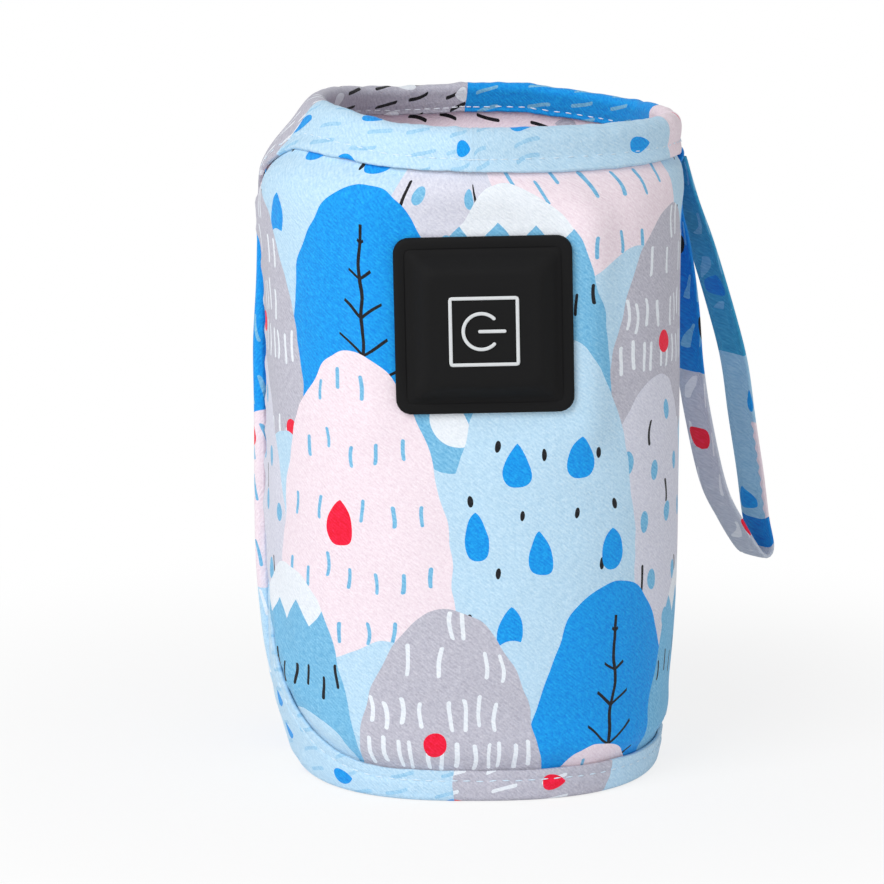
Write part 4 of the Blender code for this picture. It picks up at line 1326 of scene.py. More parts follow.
@dataclass
class Cover:
    """Printed outer panel, soft over its padding and gathered where it is sewn."""

    columns: int = 248
    rows: int = 122
    crowding: float = 0.6
    thickness: float = 0.001
    bottom: float = 0.0012
    top: float = 0.14775
    seam_gap: float = 0.0004
    print_start: float = 0.01
    window: float = 0.0155
    puff_height: float = 0.00045
    puff_ripple: Ripple = Ripple(1.0, (32.0, 26.0), 2.0)
    puff_floor: float = 0.35
    puff_run: float = 0.02
    free_run: float = 0.004
    crease_run: float = 0.002
    seam_roll: Swell = Swell(0.00045, 0.0052, 0.0036)
    roll_mean: float = 0.75
    roll_ripple: Ripple = Ripple(0.7, (70.0, 0.0), 5.0, 3.0)
    seam_crease: Swell = Swell(-0.001, 0.0012, 0.0011)
    seam_gather: Pucker = Pucker(0.00042, 0.0074, 7.0, 45.0, (1.0, 8.0))
    gather_band: Swell = Swell(1.0, 0.003, 0.0022)
    mouth_hem: Swell = Swell(0.00055, 0.0068, 0.004)
    base_hem: Swell = Swell(0.00055, 0.0062, 0.0036)
    tug: Pucker = Pucker(0.00016, 0.0125, 6.0, 30.0, (2.0, 4.0))
    tug_run: float = 0.007
    nip: Pucker = Pucker(0.00012, 0.0048, 6.0, 60.0, (5.0, 4.0))
    mouth_nips: Swell = Swell(1.0, 0.0026, 0.002)
    base_nips: Swell = Swell(1.0, 0.0028, 0.0022)
    corner_nips: float = 1.8

    def puff(self, along: float, z: float) -> float:
        """How far the panel stands proud of the plain outline.

        Args:
            along: Length round the panel from the side seam.
            z: Height.

        Returns:
            The swell, which is negative in the crease beside the seam.
        """
        line = OUTLINE
        edge = line.from_seam(along)
        mouth = line.below_mouth(along, z)
        base = line.above_base(along, z)
        sewn = min(mouth, base)
        calm = between(self.puff_floor, 1.0, smooth(edge / self.puff_run))
        bulge = self.puff_ripple.at(along, z) + self.puff_floor
        soft = self.puff_height * bulge * calm
        roll = self.seam_roll.at(edge) * (self.roll_mean + self.roll_ripple.at(z))
        roll += self.seam_gather.at(z) * self.gather_band.at(edge)
        hem = self.mouth_hem.at(mouth) + self.base_hem.at(base)
        hem += self.tug.at(along) * sum(math.exp(-max(gap, 0.0) / self.tug_run) for gap in (mouth, base))
        nips = self.mouth_nips.at(mouth)
        nips += (1.0 + self.corner_nips * line.climb(along)) * self.base_nips.at(base)
        hem += self.nip.at(along) * nips
        seat = 1.0 - line.seat_share(line.angle_at(along / line.girth), z)
        crease = self.seam_crease.at(edge) * smooth(sewn / self.crease_run)
        return (soft + roll + hem) * smooth(sewn / self.free_run) * seat + crease

    def crowd(self, share: float) -> float:
        """Share of the way round of a column of faces, closer together beside the seam."""
        return share - self.crowding * math.sin(math.tau * share) / math.tau

    def place(self, share: float, up: float) -> Vector:
        """Point of the panel.

        Args:
            share: Share of the panel's columns from the seam.
            up: Share of its height.

        Returns:
            The point, with a hair's gap between the panel's two ends.
        """
        around = self.seam_gap + self.crowd(share) * (1.0 - 2.0 * self.seam_gap)
        z = between(self.bottom, self.top, up)
        along = around * OUTLINE.girth
        inset = OUTLINE.tuck(along, z) - self.puff(along, z)
        return OUTLINE.point(OUTLINE.angle_at(around), z, inset)

    def cut(self, share: float, up: float) -> Pair:
        """Cloth coordinates of the panel."""
        around = self.print_start + self.crowd(share) * OUTLINE.girth
        return around, between(self.bottom, self.top, up)

    def build(self) -> None:
        """Make the panel with its window for the switch."""
        shape = laid_cloth(self.columns, self.rows, self.place, self.cut)
        open_window(shape, self.window)
        piece = make_piece(
            "cover_cloth", shape, PRINT, "printed_cover", ["outer_cover"], thickness=self.thickness,
        )
        OUTLINE.girth


@dataclass
class Padding:
    """Foam between the cover and the heater."""

    columns: int = 120
    rows: int = 48
    thickness: float = 0.0026
    inset: float = 0.0013
    bottom: float = 0.0027
    top: float = 0.137
    seam_gap: float = 0.0045
    corner_gap: float = 0.0185
    corner: Pair = (0.03, 0.061)
    window: float = 0.0157
    lump: Ripple = Ripple(0.0002, (60.0, 60.0), 9.0)
    fill: float = 0.8

    def place(self, share: float, up: float) -> Vector:
        """Point of the foam's outer face.

        Args:
            share: Share of the way round, between the gaps beside the seam.
            up: Share of the foam's height.

        Returns:
            The point.
        """
        line = OUTLINE
        z = between(self.bottom, self.top, up)
        low, high = self.corner
        gap = max(self.seam_gap, self.corner_gap * clamp((high - z) / (high - low)))
        along = gap + share * (line.girth - 2.0 * gap)
        lump = self.lump.height / 2 + self.lump.at(along, z)
        inset = self.inset + line.tuck(along, z) + lump
        return line.point(line.angle_at(along / line.girth), z, inset)

    def build(self) -> None:
        """Make the foam wall with its window for the switch tray."""
        shape = laid_cloth(
            self.columns, self.rows, self.place,
            lambda share, up: (share * OUTLINE.girth, up * (self.top - self.bottom)),
        )
        open_window(shape, self.window)
        piece = make_piece(
            "wall_padding", shape, PADDING, "foam", ["insulation_foam"], thickness=self.thickness,
        )


@dataclass
class Lining:
    """Inner cloth wall, drawn out to the cover under the mouth binding."""

    columns: int = 180
    rows: int = 84
    thickness: float = 0.0008
    bottom: float = 0.0069
    top: float = 0.14775
    inset: float = 0.006
    mouth_inset: float = 0.0022
    bend: Pair = (0.1326, 0.141)
    fold: float = 0.0005
    fold_rates: Pair = (4.0, 40.0)
    tug: Swell = Swell(0.00022, 0.1326, 0.007)
    tugs: int = 24
    tug_drift: float = 3.0

    def place(self, share: float, up: float) -> Vector:
        """Point of the lining's outer face.

        Args:
            share: Share of the way round, back from the seam.
            up: Share of the lining's height.

        Returns:
            The point.
        """
        around = 1.0 - share
        z = between(self.bottom, self.top, up)
        drawn = ease(z, *self.bend)
        inset = between(self.inset, self.mouth_inset, drawn)
        fold = ring_ripple(math.tau * around, self.fold_rates[0], z * self.fold_rates[1])
        tug = math.sin(math.tau * self.tugs * around + self.tug_drift * fold)
        loose = self.fold * (0.5 + 0.5 * fold) + (1.0 + tug) * self.tug.at(z)
        return OUTLINE.point(OUTLINE.angle_at(around), z, inset + loose * (1.0 - drawn))

    def cut(self, share: float, up: float) -> Pair:
        """Cloth coordinates of the lining."""
        return (1.0 - share) * OUTLINE.girth, up * (self.top - self.bottom)

    def build(self) -> None:
        """Make the lining; its printed side faces the bottle."""
        piece = make_piece(
            "lining_cloth", laid_cloth(self.columns, self.rows, self.place, self.cut), LINING_CLOTH,
            "printed_lining", ["inner_lining"], thickness=self.thickness, offset=1.0,
        )
        OUTLINE.girth


@dataclass(frozen=True)
class StitchRow:
    """Row of stitches: its distance from a tape's first edge or, below 0, from its last, and its thread."""

    place: float
    thread: Finish = PALE_THREAD


@dataclass
class SewnTape:
    """Tape sewn down along one or more rows of stitches."""

    name: str
    node: str
    finish: Finish
    columns: int
    rows: int
    thickness: float
    stitches: tuple[StitchRow, ...] = ()
    pitch: float = 0.0031
    slot: str = "binding"
    held: str = "folded"
    rests_on: tuple[str, ...] = ("cover_cloth",)
    hem: float = 0.001
    cut_share: float = 1.0
    dent: float = 0.00026
    dent_swing: Pair = (0.85, 0.3)
    dent_width: float = 0.0006
    stitch: Triple = (0.3, 0.00016, 0.00013)
    stitch_lift: float = 0.00003
    stitch_sway: Ripple = Ripple(0.14, (0.7, 900.0), 6.0)
    stitch_faces: int = 6

    @property
    def length(self) -> float:
        """Length of the tape."""
        return OUTLINE.girth

    def width_at(self, along: float) -> float:
        """Width of the tape's folded path at a length along it."""
        raise NotImplementedError

    def place(self, along: float, across: float) -> Vector:
        """Point on the tape's face at a length along it and across it."""
        raise NotImplementedError

    def row_at(self, row: StitchRow, along: float) -> float:
        """Place across the tape of a row of stitches."""
        return row.place if row.place > 0.0 else self.width_at(along) + row.place

    def dimple(self, along: float, across: float) -> float:
        """Depth of the channel that the stitches pull into the tape at a length along it and across it."""
        pull = self.dent * (self.dent_swing[0] + self.dent_swing[1] * math.cos(math.tau * along / self.pitch))
        return sum(Swell(pull, self.row_at(row, along), self.dent_width).at(across) for row in self.stitches)

    def cut(self, share: float, up: float) -> Pair:
        """Lengths along and across the tape at a share of each."""
        along = share * self.length
        return along, up * self.width_at(along)

    def build(self) -> None:
        """Make the tape and its rows of stitches."""
        shape = laid_cloth(
            self.columns, self.rows, lambda share, up: self.place(*self.cut(share, up)), self.cut,
        )
        piece = make_piece(self.name, shape, self.finish, self.slot, [self.node], thickness=self.thickness)
        threads = [self.sew(number, row) for number, row in enumerate(self.stitches, 1)]
        wide = self.width_at(self.length / 2) + 2.0 * self.hem
        self.length
        list(self.rests_on)
        self.length * wide * self.cut_share

    def sew(self, number: int, row: StitchRow) -> bpy.types.Object:
        """Make one row of stitches, each a short thread that dips at both ends.

        Args:
            number: Number of the row.
            row: The row.

        Returns:
            The row's piece.
        """
        shape = bmesh.new()
        count = round(self.length / self.pitch)
        step = self.length / count
        long, wide, high = self.stitch
        small = 0.0002

        def at(along: float, aside: float = 0.0) -> Vector:
            """Point of the tape on the row, or a little aside of it."""
            return self.place(along, self.row_at(row, along) + aside)

        for index in range(count):
            along = (index + 0.5) * step
            ahead = (at(along + small) - at(along - small)).normalized()
            out = ahead.cross(at(along, small) - at(along, -small)).normalized()
            side = out.cross(ahead)
            ahead = (ahead + side * self.stitch_sway.at(index, row.place)).normalized()
            turn = Matrix((ahead * step * long, out.cross(ahead) * wide, out * high)).transposed()
            place = Matrix.Translation(at(along) + out * self.stitch_lift) @ turn.to_4x4()
            bmesh.ops.create_uvsphere(
                shape, u_segments=self.stitch_faces, v_segments=self.stitch_faces, radius=1.0, matrix=place,
            )
        return make_piece(f"{self.name}_stitches_{number}", shape, row.thread, self.slot)


@dataclass
class MouthTape(SewnTape):
    """Binding folded over the rim, outside and inside."""

    name: str = "mouth_tape"
    node: str = "mouth_binding"
    finish: Finish = MOUTH_TAPE
    columns: int = 400
    rows: int = 44
    thickness: float = 0.0009
    stitches: tuple[StitchRow, ...] = (StitchRow(0.0026), StitchRow(-0.0012, WHITE_THREAD))
    outer_inset: float = -0.0003
    reach: float = 0.00225
    inner_end: float = 0.1431
    wave: float = 0.0002
    wave_ring: Pair = (3.0, 1.0)
    fine_ring: Pair = (14.0, 7.0)
    rim_swell: Swell = Swell(0.00028, 0.0012, 0.0018)
    edge_swell: Swell = Swell(0.00016, 0.0009, 0.0009)
    band_swell: Swell = Swell(0.00022, 0.007, 0.005)

    @property
    def middle(self) -> float:
        """Inset of the fold's middle."""
        return self.outer_inset + self.reach

    @property
    def rim(self) -> float:
        """Height of the fold's centre."""
        return OUTLINE.height - self.reach

    def outer_leg(self, along: float) -> float:
        """Length of the leg outside, which is longer towards the side seam."""
        return self.rim - OUTLINE.mouth_edge(along)

    def width_at(self, along: float) -> float:
        """Width of the tape's folded path at a length along it."""
        return self.outer_leg(along) + math.pi * self.reach + self.rim - self.inner_end

    def row_at(self, row: StitchRow, along: float) -> float:
        """Place across the tape of a row, kept squarely off the sloping lower edge."""
        below = row.place * OUTLINE.slope(OUTLINE.mouth_edge, along)
        return super().row_at(row, along) if row.place < 0.0 else below

    def place(self, along: float, across: float) -> Vector:
        """Point on the tape's face, from its lower edge outside over the rim to the inside.

        Args:
            along: Length along the tape.
            across: Length across it.

        Returns:
            The point.
        """
        leg = self.outer_leg(along)
        turn = clamp((across - leg) / (math.pi * self.reach)) * math.pi
        past = max(across - leg - math.pi * self.reach, 0.0)
        ring = math.tau * along / self.length
        wave = ring_ripple(ring, *self.wave_ring)
        fine = ring_ripple(ring, *self.fine_ring)
        z = self.rim + min(across - leg, 0.0) + self.reach * math.sin(turn) - past
        z += self.wave * (wave * smooth(across / leg) + fine)
        swell = self.rim_swell.at(leg - across) + self.edge_swell.at(across)
        swell += fine * self.band_swell.at(across) - self.dimple(along, across)
        inset = self.middle - (self.reach + swell) * math.cos(turn)
        z += swell * math.sin(turn)
        return OUTLINE.point(OUTLINE.angle_at((along / self.length) % 1.0), z, inset)


@dataclass
class BaseTape(SewnTape):
    """Binding round the foot, turned in under the base."""

    name: str = "base_tape"
    node: str = "base_binding"
    finish: Finish = BASE_TAPE
    columns: int = 340
    rows: int = 56
    thickness: float = 0.0009
    stitches: tuple[StitchRow, ...] = (StitchRow(-0.0022),)
    outer_inset: float = -0.0003
    flange: float = 0.0065
    corner: float = 0.0016
    band_swell: Swell = Swell(0.0002, 0.0022, 0.0018)
    wave: float = 0.0002
    wave_ring: Pair = (12.0, 4.0)
    wave_rate: float = 60.0
    edge_wave: float = 0.00022
    edge_run: float = 0.001
    crumple: Ripple = Ripple(0.0006, (190.0, 160.0), 6.0)

    @property
    def under(self) -> float:
        """Width of the part under the base."""
        return self.flange - self.outer_inset - self.corner

    @property
    def bend(self) -> float:
        """Width of the bend from the base up to the wall."""
        return math.pi / 2 * self.corner

    def width_at(self, along: float) -> float:
        """Width of the tape's folded path at a length along it."""
        return self.under + self.bend + OUTLINE.base_edge(along) - self.corner

    def row_at(self, row: StitchRow, along: float) -> float:
        """Place across the tape of a row, kept squarely off the climbing upper edge."""
        return self.width_at(along) + row.place * OUTLINE.slope(OUTLINE.base_edge, along)

    def place(self, along: float, across: float) -> Vector:
        """Point on the tape's face, from its edge under the base out and up to its upper edge.

        Args:
            along: Length along the tape.
            across: Length across it.

        Returns:
            The point.
        """
        line = OUTLINE
        turn = clamp((across - self.under) / self.bend) * math.pi / 2
        past = max(across - self.under - self.bend, 0.0)
        radius, layer = self.wave_ring
        fine = ring_ripple(math.tau * along / self.length, radius, layer + past * self.wave_rate)
        inset = self.flange - min(across, self.under) - self.corner * math.sin(turn)
        z = self.corner * (1.0 - math.cos(turn)) + past
        outside = smooth(past / self.edge_run)
        swell = self.band_swell.at(past) + self.wave * fine
        swell += self.crumple.at(along, past) * line.climb(along)
        inset -= (swell - self.dimple(along, across)) * outside
        z += self.edge_wave * fine * outside
        return line.point(line.angle_at((along / self.length) % 1.0), z, inset)


@dataclass
class SideTape(SewnTape):
    """Binding folded over the side seam's raw edges, which stand out as a narrow fin."""

    name: str = "side_tape"
    node: str = "side_binding"
    finish: Finish = SIDE_TAPE
    columns: int = 220
    rows: int = 40
    thickness: float = 0.0007
    cut_share: float = 0.75
    fin: float = 0.0034
    fin_end: float = 0.0002
    taper: Pair = (0.047, 0.042)
    half: float = 0.00165
    half_end: float = 0.45
    waist: float = 0.00075
    waist_run: Pair = (0.0008, 0.0013)
    bottom: float = 0.004
    top: float = 0.1345
    root: float = -0.0008
    root_run: float = 0.0008
    least_leg: float = 0.0002
    edge_wave: Ripple = Ripple(0.0003, (60.0, 0.0), 3.0, 4.0)
    puff: Ripple = Ripple(0.00018, (110.0, 200.0), 5.0)
    sway: Ripple = Ripple(0.0006, (28.0, 0.0), 7.0, 1.0)

    @property
    def length(self) -> float:
        """Length of the tape."""
        return self.top - self.bottom

    def width_at(self, along: float) -> float:
        """Width of the tape's folded path."""
        return 2.0 * (self.fin - self.half) + math.pi * self.half

    def place(self, along: float, across: float) -> Vector:
        """Point on the tape's face, from the seam's front side round its fold to the back side.

        Args:
            along: Length along the tape, from its lower end.
            across: Length across it.

        Returns:
            The point.
        """
        line = OUTLINE
        z = self.bottom + along
        full = smooth(min(along / self.taper[0], (self.length - along) / self.taper[1]))
        reach = between(self.fin_end, self.fin, full)
        reach += self.edge_wave.at(z) * full
        half = self.half * between(self.half_end, 1.0, full)
        flat = self.fin - self.half
        turn = clamp((across - flat) / (math.pi * self.half)) * math.pi
        leg = min(across, flat) - max(across - flat - math.pi * self.half, 0.0)
        straight = max(reach - half, self.least_leg) - self.root
        out = self.root + straight * leg / flat + min(half, reach) * math.sin(turn)
        puff = self.puff.at(z, across) - self.dimple(along, across)
        puff *= smooth(leg / self.root_run) * full
        sway = self.sway.at(z) * smooth(leg / flat) * full
        half = between(self.waist, half, ease(leg, *self.waist_run))
        y = -(half + puff) * math.cos(turn) + sway
        x = -(line.left_half(z) + out)
        return Vector((x, y, z + line.lift(x, y, z)))


@dataclass
class Base:
    """Cloth, padding and inside floor that close the sleeve's foot."""

    columns: int = 96
    rows: int = 18
    foot_inset: float = 0.008
    step_inset: float = 0.0068
    edge_inset: float = 0.0022
    step: float = 0.0012
    cloth: float = 0.001
    foam: float = 0.0028
    foam_gap: float = 0.0003
    foam_inset: float = 0.0028
    foam_fill: float = 0.8
    floor: float = 0.0066
    floor_inset: float = 0.0052
    floor_cloth: float = 0.0008
    floor_fold: float = 0.0004
    floor_rate: float = 9.0
    floor_edge: float = 0.15

    def disc(self, inset: float, height: Callable[[float, float], float], up: bool) -> BMesh:
        """Lay a round of cloth out across the foot.

        Args:
            inset: Distance of its edge inside the outline.
            height: Height at a share from the middle and a share round.
            up: Whether its face looks up.

        Returns:
            The round, closed at its middle.
        """
        def at(out: float, share: float) -> Vector:
            """Point of the round at a share out from its middle and a share round."""
            edge = OUTLINE.point(OUTLINE.angle_at(share % 1.0), 0.0, inset)
            return Vector((edge.x * out, edge.y * out, height(out, share)))

        def place(share: float, way: float) -> Vector:
            """Point of the round, laid from its edge inwards where its face looks up."""
            return at(1.0 - way if up else way, share)

        return laid_cloth(self.columns, self.rows, place, lambda share, way: tuple(place(share, way).xy))

    @property
    def reach(self) -> float:
        """Half depth of the foot."""
        return OUTLINE.depth - OUTLINE.base_draw[2]

    def share_at(self, inset: float) -> float:
        """Share out from the middle of the base cloth at a distance inside the outline."""
        return 1.0 - (inset - self.edge_inset) / self.reach

    def sole(self, out: float, share: float) -> float:
        """Height of the base cloth, which steps up inside the base binding, the same all round."""
        return self.step * ease(out, self.share_at(self.foot_inset), self.share_at(self.step_inset))

    def under(self, out: float, share: float) -> float:
        """Height of the foam's underside."""
        return self.cloth + self.foam_gap + self.sole(out * (1.0 - self.foam_inset / self.reach), share)

    def inside(self, out: float, share: float) -> float:
        """Height of the floor cloth, which lies loosely within its edge."""
        fold = self.floor_fold * (0.5 + 0.5 * ring_ripple(math.tau * share, self.floor_rate * out, 2.0))
        return self.floor + fold * smooth((1.0 - out) / self.floor_edge)

    def build(self) -> None:
        """Make the base cloth, the base padding and the floor cloth."""
        cloth = make_piece(
            "base_cloth", self.disc(self.edge_inset, self.sole, False), BASE_TWILL, "base_cloth",
            ["base_panel"], thickness=self.cloth,
        )
        foam = make_piece(
            "base_padding", self.disc(self.floor_inset, self.under, False), PADDING, "foam",
            ["base_foam"], thickness=self.foam,
        )
        floor = make_piece(
            "floor_cloth", self.disc(self.floor_inset, self.inside, True), LINING_CLOTH,
            "printed_lining", ["base_lining"], thickness=self.floor_cloth,
        )


@dataclass
class ButtonPad:
    """Silicone switch pad: a bordered skin with a raised middle, a stem that moves with the button, and its
    mark.
    """

    width: float = 0.0389
    corner: float = 0.0034
    groove_corner: float = 0.001
    button_corner: float = 0.003
    step: Pair = (0.0027, 0.0076)
    back: float = 0.0003
    segments: int = 160
    profile: tuple[Pair, ...] = (
        (0.016, 0.0049), (0.0074, 0.0049), (0.0068, 0.0046), (0.0034, 0.0006), (0.003, 0.0),
        (0.0, 0.0), (0.0, 0.00055), (0.00008, 0.0009), (0.0003, 0.00118), (0.00062, 0.00134),
        (0.00105, 0.0014), (0.00218, 0.0014), (0.00234, 0.00137), (0.00242, 0.00127),
        (0.00252, 0.00127), (0.0026, 0.00138), (0.003, 0.00148), (0.0035, 0.00185),
        (0.0041, 0.00255), (0.0048, 0.00345), (0.0055, 0.00435), (0.0061, 0.00505),
        (0.0066, 0.00548), (0.0071, 0.00576), (0.0076, 0.00588), (0.0082, 0.0059),
        (0.011, 0.0059), (0.016, 0.0059),
    )
    give_from: float = 0.0015
    give_to: float = 0.0048
    stem: float = 0.002
    stem_end: float = 0.0004
    stem_sides: int = 32
    stem_round: float = 0.0002
    stem_sink: float = 0.0001
    ink_lift: float = 0.00005
    ink: float = 0.0002
    ink_rows: int = 4
    ink_crown: float = 0.00005
    ink_tip: float = 0.00004
    stroke: float = 0.00076
    mark: float = 0.0153
    mark_corner: float = 0.0003
    mark_drop: float = 0.0004
    ring: float = 0.0043
    ring_x: float = -0.0006
    opening: float = math.radians(80.0)
    bar: Pair = (-0.0013, 0.0048)

    @property
    def place(self) -> Matrix:
        """Frame of the pad: its x to the right, z up, and -y out of the cover's seat."""
        seat = Vector((OUTLINE.pad_x, OUTLINE.seat_press - OUTLINE.depth, OUTLINE.pad_z))
        return Matrix.Translation(seat) @ Matrix.Rotation(OUTLINE.pad_roll, 4, "Y")

    def build(self) -> None:
        """Make the skin, the stem behind its middle and the three parts of its mark."""
        self.build_skin()
        self.build_stem()
        self.build_mark()

    def corner_at(self, inset: float) -> float:
        """Corner radius of a ring at a distance inside the pad's edge."""
        outer = max(self.corner - inset, self.groove_corner)
        return between(outer, self.button_corner, ease(inset, *self.step))

    def build_skin(self) -> None:
        """Draw a ring out along the profile, from the hollow's roof round the border to the top."""
        shape = bmesh.new()
        upright = Matrix.Rotation(math.pi / 2, 4, "X")
        ring = bmesh.ops.create_circle(shape, segments=self.segments, radius=1.0, matrix=upright)["verts"]
        first = edges = list(shape.edges)
        for step, (inset, height) in enumerate(self.profile):
            if step:
                ring, edges = self.draw_on(shape, edges)
            half = self.width / 2 - inset
            for vertex in ring:
                angle = math.atan2(vertex.co.z, vertex.co.x)
                x, z = self.square(angle, half, min(self.corner_at(inset), half))
                vertex.co = (x, -self.back - height, z)
        for rim, (_, height) in ((first, self.profile[0]), (edges, self.profile[-1])):
            tips, _ = self.draw_on(shape, rim)
            bmesh.ops.pointmerge(shape, verts=tips, merge_co=(0.0, -self.back - height, 0.0))
        bmesh.ops.recalc_face_normals(shape, faces=shape.faces)
        bmesh.ops.transform(shape, matrix=self.place, verts=shape.verts)
        skin = make_piece("pad_skin", shape, SILICONE, "silicone", ["button_pad"], None, sharp=50.0)
        out = Vector((0.0, -1.0, 0.0))
        seat = self.place.translation + out * self.back
        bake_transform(skin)

    def build_stem(self) -> None:
        """Turn the stem that reaches from the raised middle to the switch's plunger."""
        roof = self.back + self.profile[0][1] + self.stem_sink
        shape = bmesh.new()
        bmesh.ops.create_cone(
            shape, cap_ends=True, segments=self.stem_sides, radius1=self.stem, radius2=self.stem,
            depth=roof - self.stem_end,
        )
        round_edges(shape, over=60.0, offset=self.stem_round)
        upright = Matrix.Rotation(math.pi / 2, 4, "X")
        middle = Matrix.Translation((0.0, -(roof + self.stem_end) / 2, 0.0))
        bmesh.ops.transform(shape, matrix=self.place @ middle @ upright, verts=shape.verts)
        make_piece("button_stem", shape, SILICONE, "silicone", ["power_button"], Body.BUTTON, sharp=40.0)

    @staticmethod
    def draw_on(shape: BMesh, edges: list[BMEdge]) -> tuple[list[BMVert], list[BMEdge]]:
        """Draw a ring of edges on into a new ring.

        Args:
            shape: Mesh that holds the ring.
            edges: Edges of the ring.

        Returns:
            The new ring's vertices, still in the old ring's places, and its edges.
        """
        drawn = bmesh.ops.extrude_edge_only(shape, edges=edges)["geom"]
        ring = [part for part in drawn if isinstance(part, BMVert)]
        fresh = set(ring)
        return ring, [edge for edge in shape.edges if fresh.issuperset(edge.verts)]

    @staticmethod
    def square(angle: float, half: float, corner: float) -> Pair:
        """Point of a rounded square in the direction of an angle.

        Args:
            angle: Direction from the middle.
            half: Half width of the square.
            corner: Radius of its corners.

        Returns:
            The point's x and z.
        """
        ray = Vector((abs(math.cos(angle)), abs(math.sin(angle))))
        flat = half - corner
        reach = half / max(ray)
        if min(ray) * reach > flat:
            along = ray.x * flat + ray.y * flat
            reach = along + math.sqrt(max(along ** 2 - 2.0 * flat ** 2 + corner ** 2, 0.0))
        return reach * math.cos(angle), reach * math.sin(angle)

    def build_mark(self) -> None:
        """Print the mark: a square outline, an open ring and a bar through its opening."""
        half = self.mark / 2 - self.stroke / 2
        sweep = math.tau - self.opening
        radius = self.ring - self.stroke / 2

        def square(share: float) -> Pair:
            """Place on the square outline at a share of the way round."""
            x, z = self.square(math.tau * share, half, self.mark_corner)
            return x, z - self.mark_drop

        def ring(share: float) -> Pair:
            """Place on the open ring at a share of its sweep."""
            angle = self.opening / 2 + sweep * share
            return self.ring_x + radius * math.cos(angle), radius * math.sin(angle) - self.mark_drop

        def bar(share: float) -> Pair:
            """Place on the bar at a share of its length."""
            return between(*self.bar, share), -self.mark_drop

        long = self.bar[1] - self.bar[0]
        self.print_stroke("mark_square", "icon_frame", square, 8.0 * half, steps=240, closed=True)
        self.print_stroke("mark_ring", "icon_ring", ring, sweep * radius, steps=90, closed=False)
        self.print_stroke("mark_bar", "icon_bar", bar, long, steps=36, closed=False)

    def print_stroke(
        self, name: str, node: str, path: Callable[[float], Pair], length: float,
        steps: int, closed: bool,
    ) -> None:
        """Lay one stroke of ink along a path, with round ends where it is open.

        Args:
            name: Name of the piece.
            node: CAD node that it stands for.
            path: Place on the button's face at a share of the path.
            length: Length of the path.
            steps: Faces along the path.
            closed: Whether the path's ends meet.
        """
        half = self.stroke / 2
        face = -self.back - self.profile[-1][1] - self.ink_lift - self.ink
        small = 0.002

        def at(share: float) -> Vector:
            """Place on the path, run round again where its ends meet."""
            return Vector(path(share % 1.0 if closed else share))

        def place(share: float, across: float) -> Vector:
            """Point of the stroke's face.

            Args:
                share: Share of the stroke's length.
                across: Share of its width.

            Returns:
                The point.
            """
            held = share if closed else 0.5 - 0.5 * math.cos(math.pi * share)
            ahead = (at(held + small) - at(held - small)).normalized()
            end = half if closed else min(held, 1.0 - held) * length
            wide = half * math.sqrt(clamp(1.0 - (1.0 - min(end / half, 1.0)) ** 2))
            aside = 2.0 * across - 1.0
            spot = at(held) + Vector((-ahead.y, ahead.x)) * aside * max(wide, self.ink_tip)
            return self.place @ Vector((spot.x, face - self.ink_crown * (1.0 - aside ** 2), spot.y))

        shape = laid_cloth(steps, self.ink_rows, place, lambda share, across: (share, across))
        make_piece(name, shape, MARK_INK, "icon_ink", [node], Body.BUTTON, self.ink, sharp=50.0)


